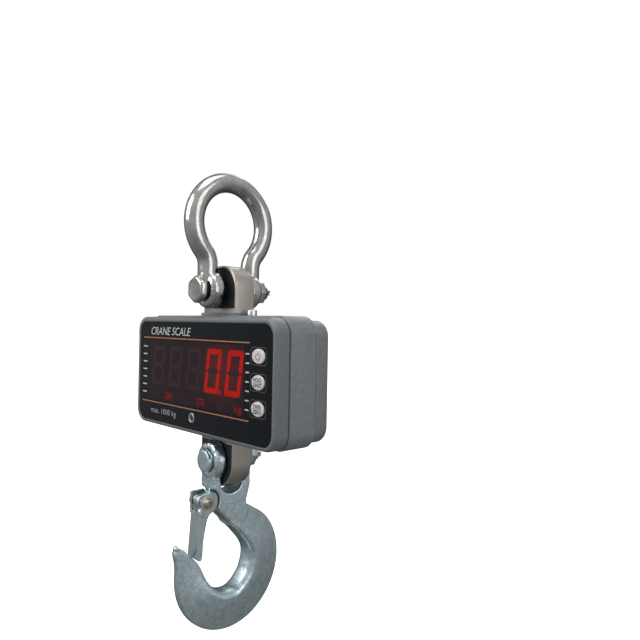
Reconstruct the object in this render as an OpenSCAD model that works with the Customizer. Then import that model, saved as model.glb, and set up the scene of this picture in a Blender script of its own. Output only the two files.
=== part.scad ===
// Digital crane scale with a bow shackle, a flat load cell, a display case and a clevis hook.
// All sizes are in millimetres. X runs to the right, Y to the back and Z up.
// The origin is the suspension point, inside the crown of the shackle.

/* [Load path] */
// Diameter of the round bar of the shackle
bar_d = 14; // [10:0.5:20]
// Centre-line radius of the bow
bow_r = 30.4; // [24:0.2:40]
// Height of the bow's centre above the middle of the panel
bow_z = 109; // [95:1:130]
// Distance of each shackle leg from the load line
leg_y = 18.6; // [16:0.2:24]
// Height of the upper pin above the middle of the panel
upper_pin_z = 61; // [55:0.5:70]
// Diameter of the upper pin
upper_pin_d = 14; // [10:0.5:18]
// Depth of the lower pin below the middle of the panel
lower_pin_z = 59.4; // [55:0.2:70]
// Diameter of the lower pin
lower_pin_d = 11; // [8:0.5:14]
// Width of the load cell bar
cell_w = 39.2; // [30:0.2:50]
// Thickness of the load cell bar
cell_t = 16.4; // [12:0.2:22]
// Radial clearance of a pin in its bore
fit_gap = 0.05; // [0.02:0.01:0.1]

/* [Case] */
// Width of the display case
case_w = 172; // [140:1:200]
// Height of the main shell
shell_h = 84.8; // [70:0.2:100]
// Height of the front bezel
bezel_h = 82.4; // [70:0.2:98]
// Height of the back cover
cover_h = 79.6; // [66:0.2:96]
// Offset of the case centre to the side of the load line
case_x = -1; // [-3:0.5:3]
// Height of the case centre above the panel centre
case_z = 0.6; // [0:0.1:2]
// Corner radius of the case
case_r = 12; // [6:0.5:18]
// Wall thickness of the case
wall = 2.6; // [2:0.1:4]
// Depth of the panel face in front of the load line
panel_y = 24.8; // [20:0.2:30]
// Width of the front panel
panel_w = 164; // [130:1:190]
// Height of the front panel
panel_h = 75.2; // [60:0.2:90]
// Height of one display digit
digit_h = 30.2; // [20:0.2:40]
// Distance from one digit to the next
digit_pitch = 24.1; // [18:0.1:30]
// Travel of a button
button_travel = 0.5; // [0.3:0.1:1]

/* [Hook] */
// Outer radius of the hook bowl
bowl_r = 44.3; // [36:0.2:50]
// Depth of the bowl centre below the panel centre
bowl_z = 138.5; // [125:0.5:150]
// Distance of the bowl centre behind the load line
bowl_y = 4.5; // [0:0.5:10]
// Width of the hook's shank
shank_w = 16.6; // [12:0.2:20]
// Width of the saddle of the hook
saddle_w = 17.8; // [12:0.2:22]
// Width of the clevis slot
slot_w = 17.8; // [16:0.2:24]
// Sheet thickness of the safety latch
latch_t = 1.5; // [1:0.1:2.5]
// Outside width of the safety latch
latch_w = 15.6; // [12:0.2:20]

/* [Hidden] */
$fn = 48;
crown_z = bow_z + bow_r - bar_d / 2;
eye_in = 12.2;
eye_out = 22.2;
eye_r = 13;
bend_r = 16;
bow_a = acos((leg_y + bend_r) / (bow_r + bend_r));
bend_z = bow_z - (bow_r + bend_r) * sin(bow_a);
pivot_y = -20.1;
pivot_z = -87;
bezel_y = 25.6;
seam_y = 14;
shell_back = 7.4;
case_back = 19.4;
button_x = 67.2;
button_z = [17.6, 1.3, -15.1];
window = [-70.4, 52.5, -21.8, 24.2];
bracket_z = [case_z + 28.7, case_z - 28.7];

// Moves a piece from panel-centre heights down to the suspension origin.
module hang() { translate([0, 0, -crown_z]) children(); }

// Turns a drawing in X and Y into one in Y and Z, extruded along X.
module side() { rotate([90, 0, 90]) children(); }

// Turns an extrusion along Z into one along -Y, keeping X and putting Y up.
module front() { rotate([90, 0, 0]) children(); }

// A round bar along Y from y0 to y1.
module rod_y(d, y0, y1, n = 48) {
  translate([0, y0, 0]) rotate([-90, 0, 0]) cylinder(d = d, h = y1 - y0, $fn = n);
}

// A round bar along X from x0 to x1.
module rod_x(d, x0, x1, n = 48) {
  translate([x0, 0, 0]) rotate([0, 90, 0]) cylinder(d = d, h = x1 - x0, $fn = n);
}

// A rounded rectangle of w by h about the origin.
module rounded(w, h, r) {
  union() {
    square([w - 2 * r, h], center = true);
    square([w, h - 2 * r], center = true);
    for (x = [-1, 1]) for (y = [-1, 1])
      translate([x * (w / 2 - r), y * (h / 2 - r)]) circle(r = r, $fn = 48);
  }
}

// A slab of the case with a rounded outline between two depths.
module slab(w, h, r, y0, y1, z = 0) {
  translate([case_x, y1, z]) front() linear_extrude(y1 - y0) rounded(w, h, r);
}

// An upright oval between two depths.
module oval(a, b, y0, y1) {
  translate([0, y1, 0]) front() linear_extrude(y1 - y0) scale([a, b]) circle(r = 1, $fn = 64);
}

// A split pin through a round pin: two legs, an eye and spread ends.
module split_pin(d, len) {
  rod_x(d, -len / 2, len / 2, 24);
  translate([-len / 2 - 1.6, 0, 0]) rotate([90, 0, 0]) rotate_extrude($fn = 32)
    translate([d * 0.95, 0]) circle(d = d * 0.6, $fn = 16);
  for (s = [-1, 1]) translate([len / 2 - 0.2, 0, 0]) rotate([0, 90 + s * 55, 0])
    cylinder(d = d * 0.6, h = 3.4, $fn = 16);
}

// Shackle ----------------------------------------------------------------

module shackle_bow() {
  color("silver") hang() difference() {
    union() {
      side() translate([0, bow_z, 0]) rotate([0, 0, -bow_a])
        rotate_extrude(angle = 180 + 2 * bow_a, $fn = 72)
          translate([bow_r, 0]) circle(d = bar_d, $fn = 32);
      for (s = [0, 1]) mirror([0, s, 0]) {
        side() translate([leg_y + bend_r, bend_z, 0]) rotate([0, 0, 178 - bow_a])
          rotate_extrude(angle = bow_a + 2, $fn = 72)
            translate([bend_r, 0]) circle(d = bar_d - 0.3, $fn = 32);
        translate([0, leg_y + 0.15, upper_pin_z]) cylinder(d = bar_d - 1, h = bend_z - upper_pin_z + 0.5);
        translate([0, 0, upper_pin_z]) rotate([-90, 0, 0]) rotate_extrude($fn = 64) eye_profile();
      }
    }
    translate([0, 0, upper_pin_z]) rod_y(upper_pin_d + 2 * fit_gap, -40, 40);
    for (s = [0, 1]) mirror([0, s, 0]) translate([0, 0, upper_pin_z]) rod_y(23.6, eye_out, 40);
  }
}

// Half section of one shackle eye, radius against depth.
module eye_profile() {
  polygon([
    [0, eye_in], [eye_r - 1.5, eye_in], [eye_r, eye_in + 2], [eye_r, eye_out - 4],
    [eye_r - 1.2, eye_out - 1.6], [eye_r - 3.4, eye_out], [0, eye_out]
  ]);
}

module shackle_pin() {
  color("silver") hang() translate([0, 0, upper_pin_z]) difference() {
    union() {
      rod_y(upper_pin_d, -24.6, eye_out);
      rod_y(10, eye_out - 0.1, 33.3);
      intersection() {
        rotate([0, 27, 0]) rod_y(20.4, -29.4, -24.4, 6);
        union() {
          rod_y(19.6, -28.2, -24.4);
          translate([0, -29.4, 0]) rotate([-90, 0, 0]) cylinder(d1 = 17.4, d2 = 19.6, h = 1.25);
        }
      }
    }
    translate([0, 31.4, 0]) rod_x(2.4, -12, 12, 24);
  }
}

module shackle_nut() {
  color("silver") hang() translate([0, 0, upper_pin_z]) difference() {
    intersection() {
      rod_y(17.7, eye_out + 0.1, 29.6, 6);
      union() {
        rod_y(17.2, eye_out + 0.1, 28.6);
        translate([0, 28.6, 0]) rotate([-90, 0, 0]) cylinder(d1 = 17.2, d2 = 15, h = 1);
      }
    }
    rod_y(10 + 2 * fit_gap, 20, 35);
  }
}

module shackle_cotter() {
  color("silver") hang() translate([0, 31.4, upper_pin_z]) split_pin(2.2, 14);
}

// Load cell --------------------------------------------------------------

// Outline of the load cell bar seen from the front.
module cell_outline() {
  union() {
    square([cell_w, 123], center = true);
    for (s = [-1, 1]) for (x = [-1, 1]) translate([x * 2.6, s * 61.5]) circle(r = 17, $fn = 64);
    square([cell_w - 29, 156.2], center = true);
  }
}

module load_cell() {
  color([0.55, 0.51, 0.49]) hang() difference() {
    translate([0, cell_t / 2, 0.2]) front() linear_extrude(cell_t) cell_outline();
    translate([0, 0, upper_pin_z]) rod_y(upper_pin_d + 2 * fit_gap, -20, 20);
    translate([0, 0, -lower_pin_z]) rod_y(lower_pin_d + 2 * fit_gap, -20, 20);
    for (s = [0, 1]) mirror([0, s, 0]) translate([0, 0, case_z]) rod_y(22, cell_t / 2 - 5, 20);
    for (z = bracket_z) translate([0, 0, z]) rod_x(4.1, -30, 30, 32);
    translate([0, 5.5, case_z]) rod_x(3.4, -30, 0, 32);
  }
}

module strain_gauges() {
  color([0.75, 0.6, 0.3]) hang() translate([0, 0, case_z]) for (s = [-1, 1]) {
    for (x = [-4, 4]) translate([x - 2, s * 3.35 - 0.15, -4]) cube([4, 0.3, 8]);
  }
}

module cell_cable() {
  color([0.2, 0.2, 0.2]) hang() translate([0, 5.5, case_z]) {
    rod_x(2.6, -25, -3, 24);
    translate([-25, 0, 0]) sphere(d = 2.6, $fn = 24);
    translate([-25, 0, -14]) cylinder(d = 2.6, h = 14, $fn = 24);
    translate([-25, 0, -14]) sphere(d = 2.6, $fn = 24);
    translate([0, 0, -14]) rod_x(2.6, -26.9, -25, 24);
  }
}

// A moulded collar round the load cell that carries the case, with its cross screws at height zs.
module collar(z0, z1, zs) {
  difference() {
    translate([-33, -11.5, z0]) cube([66, 23, z1 - z0]);
    translate([-cell_w / 2 - 0.05, -cell_t / 2 - 0.05, z0 - 1])
      cube([cell_w + 0.1, cell_t + 0.1, z1 - z0 + 2]);
    for (x = [-26.3, 26.3]) translate([x, 1, z0 - 1]) cylinder(d = 4.1, h = z1 - z0 + 2);
    translate([0, 0, zs]) rod_x(4.3, -34, 34, 32);
  }
}

module upper_bracket() { color("dimgray") hang() collar(case_z + 25.7, case_z + 36.7, bracket_z[0]); }

module lower_bracket() { color("dimgray") hang() collar(case_z - 36.7, case_z - 25.7, bracket_z[1]); }

// A thin plate round the load cell where it leaves the case.
module seal_plate(z0, z1) {
  difference() {
    translate([-21.2, -9.4, z0]) cube([42.4, 18.8, z1 - z0]);
    translate([-cell_w / 2 - 0.05, -cell_t / 2 - 0.05, z0 - 1])
      cube([cell_w + 0.1, cell_t + 0.1, z1 - z0 + 2]);
  }
}

module upper_seal() { color([0.3, 0.3, 0.31]) hang() seal_plate(43.05, 45.2); }

module lower_seal() { color([0.3, 0.3, 0.31]) hang() seal_plate(-43.6, -41.85); }

// A socket-head cap screw standing on z = 0 with its shank below.
module cap_screw(d, head_d, head_h, len) {
  difference() {
    union() {
      cylinder(d = head_d, h = head_h - 0.4);
      translate([0, 0, head_h - 0.4]) cylinder(d1 = head_d, d2 = head_d - 0.8, h = 0.4);
      translate([0, 0, -len]) cylinder(d = d, h = len + 0.1);
    }
    translate([0, 0, head_h - 2.2]) cylinder(d = 3.6, h = 3, $fn = 6);
  }
}

module upper_screws() {
  color("silver") hang() for (x = [-26.3, 26.3])
    translate([x, 1, case_z + shell_h / 2 + 0.05]) cap_screw(4, 7, 4.2, 11.2);
}

module lower_screws() {
  color("silver") hang() for (x = [-26.3, 26.3])
    translate([x, 1, case_z - shell_h / 2 - 0.05]) mirror([0, 0, 1]) cap_screw(4, 7, 3, 11.2);
}

module bracket_screws() {
  color("silver") hang() for (z = bracket_z) for (s = [-1, 1])
    translate([s * 33.05, 0, z]) rotate([0, s * 90, 0]) cap_screw(4, 7, 4, 25);
}

// Case -------------------------------------------------------------------

// The cut-out that lets the load cell through the case.
module cell_cut() { translate([-20.4, -8.8, -60]) cube([40.8, 17.6, 120]); }

module front_bezel() {
  color([0.45, 0.47, 0.47]) hang() difference() {
    union() {
      slab(case_w, bezel_h, 11, -bezel_y + 2.4, -seam_y - 0.3, case_z);
      slab(case_w - 0.8, bezel_h - 0.8, 10.6, -bezel_y + 1, -seam_y - 0.3, case_z);
      slab(case_w - 2.6, bezel_h - 2.6, 9.8, -bezel_y, -seam_y - 0.3, case_z);
    }
    slab(panel_w + 0.4, panel_h + 0.4, 8.4, -bezel_y - 1, -bezel_y + 2.4, 0);
    slab(panel_w - 9, panel_h - 9, 5, -bezel_y - 1, 0, 0);
    difference() {
      slab(case_w - 5.2, bezel_h - 5.2, 9, -bezel_y + 5, 0, case_z);
      corner_posts(9, -bezel_y + 4, 0);
    }
    corner_posts(2.6, -bezel_y + 5, 0);
  }
}

// Webs that join the corner posts to the side walls of the case.
module corner_webs(y0, y1) {
  for (x = [-1, 1]) for (z = [-1, 1])
    translate([case_x + x * 80.3 - 4.2, y0, case_z + z * 31.5 - 2]) cube([8.4, y1 - y0, 4]);
}

// Four round posts in the corners of the case, along Y.
module corner_posts(d, y0, y1) {
  for (x = [-1, 1]) for (z = [-1, 1])
    translate([case_x + x * 76.5, 0, case_z + z * 31.5]) rod_y(d, y0, y1, 32);
}

module front_panel() {
  color([0.1, 0.11, 0.13]) hang() difference() {
    slab(panel_w, panel_h, 8.2, -panel_y, -panel_y + 1.5, 0);
    translate([window[0] - 0.1, -30, window[2] - 0.1])
      cube([window[1] - window[0] + 0.2, 20, window[3] - window[2] + 0.2]);
    for (z = button_z) translate([button_x, 0, z]) oval(6.75, 5.05, -30, -20);
    translate([-7.5, 0, -29.6]) rod_y(7.4, -30, -20);
  }
}

module display_window() {
  color([0.2, 0.14, 0.16, 0.85]) hang()
    translate([window[0], -panel_y + 0.05, window[2]])
      cube([window[1] - window[0], 1.45, window[3] - window[2]]);
}

module panel_lines() {
  color([0.67, 0.41, 0.31]) hang() translate([0, -panel_y - 0.12, 0]) {
    for (z = [25.7, -23.6]) translate([-78.2, 0, z - 0.4]) cube([136.3, 0.12, 0.8]);
    for (i = [0:6]) translate([-78.2, 0, 18.7 - 5.9 * i - 0.45]) cube([6, 0.12, 0.9]);
    for (i = [0:6]) translate([54.3, 0, 18.7 - 5.9 * i - 0.45]) cube([3.5, 0.12, 0.9]);
    for (z = button_z) translate([button_x, 0, z]) difference() {
      translate([-7.9, 0, -5.9]) cube([15.8, 0.12, 11.8]);
      translate([-7.3, -1, -5.3]) cube([14.6, 3, 10.6]);
    }
  }
}

module case_seal() {
  color([0.12, 0.12, 0.12]) hang() difference() {
    slab(case_w - 1.6, bezel_h - 1.6, 10.4, -seam_y - 0.3, -seam_y, case_z);
    slab(case_w - 5, bezel_h - 5, 9, -seam_y - 1, -seam_y + 1, case_z);
    corner_posts(9.4, -30, 0);
  }
}

module main_shell() {
  color([0.4, 0.42, 0.43]) hang() difference() {
    slab(case_w, shell_h, case_r, -seam_y, shell_back, case_z);
    difference() {
      slab(case_w - 2 * wall, shell_h - 2 * wall, case_r - 2, -seam_y - 1, shell_back + 1, case_z);
      corner_posts(9, -seam_y, shell_back);
      corner_webs(-seam_y, shell_back);
    }
    cell_cut();
    corner_posts(3.2, -20, 20);
    for (x = [-26.3, 26.3]) translate([x, 1, -60]) cylinder(d = 4.2, h = 120);
  }
}

module back_cover() {
  color([0.4, 0.42, 0.43]) hang() difference() {
    union() {
      slab(case_w, cover_h, 11, shell_back + 0.05, case_back - 2, case_z);
      slab(case_w - 1.4, cover_h - 1.4, 10.3, case_back - 3, case_back - 0.8, case_z);
      slab(case_w - 4, cover_h - 4, 9, case_back - 2, case_back, case_z);
    }
    difference() {
      slab(case_w - 2 * wall, cover_h - 2 * wall, 9, 0, case_back - wall, case_z);
      corner_posts(9, shell_back, case_back - 1);
    }
    cell_cut();
    corner_posts(3.2, 0, 30);
    corner_posts(6.6, case_back - 2, 30);
    translate([25, 0, -31.4]) cube([44, 30, 64]);
    translate([23, case_back - 1.6, -33.4]) cube([48, 5, 68]);
    translate([-60, 0, -24]) rod_y(9.1, 0, 30, 32);
  }
}

module battery_door() {
  color([0.38, 0.4, 0.41]) hang() difference() {
    union() {
      translate([23.3, case_back - 1.5, -33.1]) cube([47.4, 1.5, 67.4]);
      translate([25.3, case_back - 3.4, -31.1]) cube([43.4, 2, 63.4]);
    }
    for (z = [-28, 29]) translate([47, 0, z]) rod_y(3.2, 0, 30, 24);
    for (z = [-28, 29]) translate([47, 0, z]) rod_y(5.8, case_back - 1.4, 30, 32);
    for (i = [-3:3]) translate([39, case_back - 0.6, 20 + i * 1.8]) cube([16, 2, 0.8]);
  }
}

// A countersunk-look pan screw whose head top is at y = 0, running to -Y.
module pan_screw(d, head_d, head_h, len) {
  difference() {
    union() {
      rod_y(head_d, -head_h, 0, 32);
      rod_y(d, -len, -head_h + 0.1, 24);
    }
    for (a = [0, 90]) rotate([0, a, 0]) translate([-head_d * 0.3, -0.9, -0.4])
      cube([head_d * 0.6, 2, 0.8]);
  }
}

module door_screws() {
  color("silver") hang() for (z = [-28, 29])
    translate([47, case_back - 0.2, z]) pan_screw(2.9, 5.4, 1.15, 4);
}

module case_screws() {
  color("silver") hang() for (x = [-1, 1]) for (z = [-1, 1])
    translate([case_x + x * 76.5, case_back - 0.4, case_z + z * 31.5]) pan_screw(2.5, 6, 1.55, 37);
}

// Electronics ------------------------------------------------------------

module display_board() {
  color([0.1, 0.35, 0.2]) hang() difference() {
    translate([-74, -13.8, -31]) cube([148, 1.6, 62]);
    corner_posts(9.8, -30, 0);
    for (x = [-70, 70]) translate([x, 0, 0]) rod_y(3, -20, 0, 24);
  }
}

module digit_modules() {
  color([0.12, 0.1, 0.1]) hang() for (i = [0:4])
    translate([-69.2 + i * digit_pitch, -22.6, -14.5]) cube([23.9, 8.75, 38]);
}

// One slanted seven-segment digit, drawn upwards from its lower left corner.
module segments() {
  w = 15;
  t = 2.8;
  h = digit_h;
  multmatrix([[1, 0.14, 0, 0], [0, 1, 0, 0], [0, 0, 1, 0]]) {
    for (y = [0, h / 2 - t / 2, h - t]) translate([t + 0.4, y]) square([w - 2 * t - 0.8, t]);
    for (x = [0, w - t]) for (y = [0.3, h / 2 + 0.3]) translate([x, y]) square([t, h / 2 - 0.6]);
  }
  translate([w + 2.2, 0]) circle(d = 3, $fn = 24);
}

module digit_segments() {
  color([0.7, 0.1, 0.06]) hang() for (i = [0:4])
    translate([-66.7 + i * digit_pitch, -22.65, -10.1]) front() linear_extrude(0.25) segments();
}

module key_switches() {
  color([0.15, 0.15, 0.15]) hang() for (z = button_z) translate([button_x, 0, z]) {
    translate([-3, -17.4, -3]) cube([6, 3.55, 6]);
    rod_y(3.4, -17.9, -17.3, 24);
  }
}

module ir_ring() {
  color([0.5, 0.5, 0.52]) hang() translate([-7.5, 0, -29.6]) rotate([-90, 0, 0])
    rotate_extrude($fn = 48) polygon([
      [2.2, -23.4], [2.2, -24.6], [2.7, -25.1], [3.3, -25.1], [3.65, -24.8], [3.65, -23.4]
    ]);
}

module ir_lens() {
  color([0.05, 0.03, 0.05]) hang() translate([-7.5, 0, -29.6]) {
    rod_y(4.3, -24.3, -15, 32);
    translate([-3.5, -18, -3.4]) cube([7, 4.15, 6]);
  }
}

module main_board() {
  color([0.1, 0.35, 0.2]) hang() difference() {
    translate([-78, 9.2, -24.8]) cube([52, 1.6, 50.6]);
    for (x = [-74, -30]) for (z = [-22, 22]) translate([x, 0, z]) rod_y(3, 0, 20, 24);
    translate([-60, 0, -24]) rod_y(9.6, 0, 30, 32);
  }
}

module board_chips() {
  color([0.1, 0.1, 0.1]) hang() {
    translate([-60, 7.2, 0]) cube([12, 2, 12]);
    translate([-42, 7.7, 6]) cube([8, 1.5, 5]);
    translate([-72, 7.2, 12]) cube([8, 2, 8]);
    translate([-33, 3.9, -17]) cube([6, 5.3, 8]);
  }
}

module battery_pack() {
  color([0.15, 0.3, 0.6]) hang() for (x = [37.2, 56.8])
    translate([x, 3.6, case_z - 24.6]) cylinder(d = 18.4, h = 49.2);
}

module charge_socket() {
  color([0.05, 0.05, 0.05]) hang() translate([-60, 0, -24]) difference() {
    union() {
      rod_y(9, 8, case_back - 0.2, 32);
      rod_y(11, case_back - 4.4, case_back - wall - 0.05, 32);
    }
    rod_y(5.6, 11, 30, 32);
  }
}

// Buttons ----------------------------------------------------------------

// An oval key cap with a retaining flange and a stem towards its switch.
module key_cap(z) {
  translate([button_x, 0, z]) {
    oval(6.4, 4.7, -25.2, -23);
    oval(5.9, 4.2, -25.5, -25.1);
    oval(7.4, 5.7, -22.9, -22);
    oval(6.4, 4.7, -23.1, -22.8);
    rod_y(4, -22.1, -18.8, 32);
  }
}

module power_button() { color([0.8, 0.8, 0.8]) hang() key_cap(button_z[0]); }

module hold_button() { color([0.8, 0.8, 0.8]) hang() key_cap(button_z[1]); }

module tare_button() { color([0.8, 0.8, 0.8]) hang() key_cap(button_z[2]); }

// Hook -------------------------------------------------------------------

// Inner and outer radius and the two half widths of the hook at one angle.
function inner_r(a) = lookup(a, [
  [152, 43.4], [156, 36.6], [160, 30.7], [166, 26.9], [174, 24], [180, 22.8], [190, 21.3],
  [202, 20], [220, 18.3], [235, 17.4], [253, 16.5], [276, 15.5], [289, 14.4], [305, 13.4],
  [318, 12.9], [344, 12.9], [365, 14], [388, 16], [411, 17.9], [433, 21.2], [442, 24],
  [450, 27.2], [458, 31]
]);
function outer_r(a) = lookup(a, [
  [152, 50.9], [156, 51.3], [163, 47.2], [171, 44.8], [180, bowl_r], [289, bowl_r],
  [346, bowl_r - 0.7], [420, bowl_r - 0.8], [440, 46], [458, 50]
]);
function half_in(a) = lookup(a, [
  [152, 1.6], [156, 2.6], [163, 3.2], [180, 4.6], [215, 7.6], [250, saddle_w / 2],
  [400, saddle_w / 2], [430, shank_w / 2 - 0.2], [458, shank_w / 2 - 0.4]
]);
function half_out(a) = lookup(a, [
  [152, 1.4], [156, 2.2], [180, 2.8], [250, 3.4], [360, 3.6], [400, 4.6], [430, 6.8], [458, 7.4]
]);

// Twelve points round the section of the hook at one angle, as [radius, width].
function section(a) = let(
    ri = inner_r(a), d = outer_r(a) - ri, wi = half_in(a), wo = half_out(a))
  [for (p = [[0, 0.5, 0], [0.05, 0.85, 0], [0.16, 1, 0], [0.6, 0.53, 0.44],
             [0.94, 0.02, 0.98], [1, 0, 0.55]])
     [ri + d * p[0], wi * p[1] + wo * p[2]]];
function ring(a) = let(s = section(a))
  concat([for (p = s) [p[0], p[1]]], [for (i = [5:-1:0]) [s[i][0], -s[i][1]]]);

steps = 51;
angles = [for (i = [0:steps]) 152 + (458 - 152) * i / steps];

// The curved part of the hook, from its tip round to the shank.
module bowl() {
  points = [for (a = angles) for (p = ring(a))
    [p[1], bowl_y + p[0] * cos(a), -bowl_z + p[0] * sin(a)]];
  sides = [for (i = [0:steps - 1]) for (j = [0:11]) each [
    [i * 12 + j, (i + 1) * 12 + j, (i + 1) * 12 + (j + 1) % 12],
    [i * 12 + j, (i + 1) * 12 + (j + 1) % 12, i * 12 + (j + 1) % 12]]];
  ends = [[for (j = [11:-1:0]) j], [for (j = [0:11]) steps * 12 + j]];
  polyhedron(points, concat(sides, ends), convexity = 4);
}

// Half section of one clevis ear, radius against depth.
module ear_profile() {
  y = slot_w / 2;
  polygon([[0, y], [13.4, y], [14, y + 0.8], [13.8, y + 3.4], [12.2, y + 6.4], [10.6, y + 7.4], [0, y + 7.4]]);
}

module hook() {
  color([0.5, 0.55, 0.56]) hang() difference() {
    union() {
      bowl();
      translate([-shank_w / 2, 0, 0]) side() linear_extrude(shank_w) polygon([
        [-15.2, -56], [-15.5, -79], [-14.7, -86], [-9.8, -95.6], [-4, -101.4], [4, -109.4],
        [10, -113], [14, -104], [15.8, -98.6], [14, -95.5], [13.5, -91], [15.4, -84.5],
        [16.6, -79], [16.2, -71], [16.2, -56]
      ]);
      for (s = [0, 1]) mirror([0, s, 0])
        translate([0, 0, -lower_pin_z]) rotate([-90, 0, 0]) rotate_extrude($fn = 64) ear_profile();
      translate([0, pivot_y, pivot_z]) rod_x(9.6, -3, 3);
      translate([-3, pivot_y, pivot_z - 4.8]) cube([6, 14, 9.6]);
    }
    translate([-20, -slot_w / 2, -77]) cube([40, slot_w, 60]);
    translate([-20, 0, -77]) side() linear_extrude(40) scale([slot_w / 2 / 6.6, 1])
      circle(r = 6.6, $fn = 64);
    for (s = [0, 1]) mirror([s, 0, 0]) translate([0, pivot_y, pivot_z]) rod_x(19.6, 3, 12);
    translate([0, pivot_y, pivot_z]) rod_x(4.1, -12, 12, 32);
    translate([0, 0, -lower_pin_z]) rod_y(lower_pin_d + 2 * fit_gap, -30, 30);
  }
}

module hook_pin() {
  color([0.55, 0.6, 0.6]) hang() translate([0, 0, -lower_pin_z]) difference() {
    union() {
      rod_y(lower_pin_d, -16.6, 27.6);
      rod_y(15.5, -19, -16.4);
      translate([0, -19.6, 0]) rotate([-90, 0, 0]) cylinder(d1 = 14.4, d2 = 15.5, h = 0.62);
    }
    translate([0, 25.4, 0]) rod_x(2.5, -12, 12, 24);
  }
}

module hook_pin_nut() {
  color([0.55, 0.6, 0.6]) hang() translate([0, 0, -lower_pin_z]) difference() {
    intersection() {
      rod_y(19, 16.4, 23.4, 6);
      union() {
        rod_y(18.4, 16.4, 22.4);
        translate([0, 22.4, 0]) rotate([-90, 0, 0]) cylinder(d1 = 18.4, d2 = 16, h = 1);
      }
    }
    rod_y(lower_pin_d + 2 * fit_gap, 10, 35);
  }
}

module hook_cotter() {
  color("silver") hang() translate([0, 25.4, -lower_pin_z]) split_pin(2.3, 15);
}

// Latch ------------------------------------------------------------------

// Side outline of the latch, drawn round its pivot.
module latch_side() {
  union() {
    circle(r = 8.6, $fn = 64);
    polygon([
      [-4.4, 7.2], [-4.4, -7.4], [-6.7, -39], [-4.2, -39.6], [-3.4, -38.8],
      [-3.1, -27.4], [-1.6, -17.2], [2.6, -8.1], [0, 0]
    ]);
  }
}

module latch() {
  color([0.5, 0.53, 0.54]) hang() translate([0, pivot_y, pivot_z]) difference() {
    translate([-latch_w / 2, 0, 0]) side() linear_extrude(latch_w) intersection() {
      latch_side();
      polygon([[-4.4, 6], [-4.4, -7.4], [-6.7, -39], [-6.7, -42], [20, -42], [20, 6]]);
    }
    translate([-latch_w / 2 + latch_t, 0, 0]) side() linear_extrude(latch_w - 2 * latch_t)
      polygon([
        [-12, 14], [-12, -7], [-2.9, -7], [-5.14, -38.1], [-12, -38.1], [-12, -46],
        [20, -46], [20, 14]
      ]);
    rod_x(4.2, -12, 12, 32);
  }
}

module latch_bolt() {
  color([0.75, 0.65, 0.4]) hang() translate([0, pivot_y, pivot_z]) difference() {
    union() {
      rod_x(4, -11, 8, 32);
      rod_x(7, 7.9, 9.1, 32);
      translate([9.1, 0, 0]) rotate([0, 90, 0]) cylinder(d1 = 7, d2 = 4.4, h = 1.1, $fn = 32);
    }
    rod_x(2.6, 8.9, 12, 6);
  }
}

module latch_nut() {
  color([0.75, 0.65, 0.4]) hang() translate([0, pivot_y, pivot_z]) difference() {
    rod_x(7.8, -10.6, -7.9, 6);
    rod_x(4.1, -12, -6, 32);
  }
}

// Stacked coils beside the tongue, with one leg down to the latch's web.
module latch_spring() {
  color([0.6, 0.6, 0.6]) hang() translate([0, pivot_y, pivot_z]) for (s = [0, 1]) mirror([s, 0, 0]) {
    for (i = [0:2]) translate([3.75 + i * 0.9, 0, 0]) rotate([0, 90, 0])
      rotate_extrude($fn = 32) translate([3, 0]) circle(d = 0.8, $fn = 16);
    translate([3.75, -3.3, -6.3]) cylinder(d = 0.8, h = 6.1, $fn = 16);
  }
}

// Parts ------------------------------------------------------------------
shackle_bow();
shackle_pin();
shackle_nut();
shackle_cotter();
load_cell();
strain_gauges();
cell_cable();
upper_bracket();
lower_bracket();
upper_seal();
lower_seal();
upper_screws();
lower_screws();
bracket_screws();
front_bezel();
front_panel();
display_window();
panel_lines();
case_seal();
main_shell();
back_cover();
battery_door();
door_screws();
case_screws();
display_board();
digit_modules();
digit_segments();
key_switches();
ir_ring();
ir_lens();
main_board();
board_chips();
battery_pack();
charge_socket();
power_button();
hold_button();
tare_button();
hook();
hook_pin();
hook_pin_nut();
hook_cotter();
latch();
latch_bolt();
latch_nut();
latch_spring();
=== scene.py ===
"""Visual model of a hanging crane scale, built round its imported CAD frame.

Every piece is made in millimetres measured from the middle of the display panel and then placed in the
row frame, whose origin is the suspension point inside the crown of the shackle."""

from math import acos, cos, pi, radians, sin

import bmesh
import bpy
from bpy.props import BoolProperty, FloatProperty, FloatVectorProperty, PointerProperty, StringProperty
from mathutils import Matrix, Vector, noise


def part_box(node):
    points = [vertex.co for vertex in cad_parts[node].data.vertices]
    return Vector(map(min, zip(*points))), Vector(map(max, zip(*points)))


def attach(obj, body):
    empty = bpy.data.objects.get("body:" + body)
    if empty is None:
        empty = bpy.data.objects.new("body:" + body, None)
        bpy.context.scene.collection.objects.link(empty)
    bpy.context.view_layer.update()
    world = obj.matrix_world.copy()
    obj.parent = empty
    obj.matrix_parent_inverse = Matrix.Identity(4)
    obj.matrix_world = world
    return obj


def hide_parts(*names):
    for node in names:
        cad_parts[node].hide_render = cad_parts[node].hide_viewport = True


bl_info = {
    "name": "Crane scale",
    "version": (1, 0, 0),
    "blender": (4, 5, 0),
    "location": "View3D > Sidebar > Crane scale",
    "description": "Builds a hanging digital crane scale round its CAD frame",
    "category": "Add Mesh",
}

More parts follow.
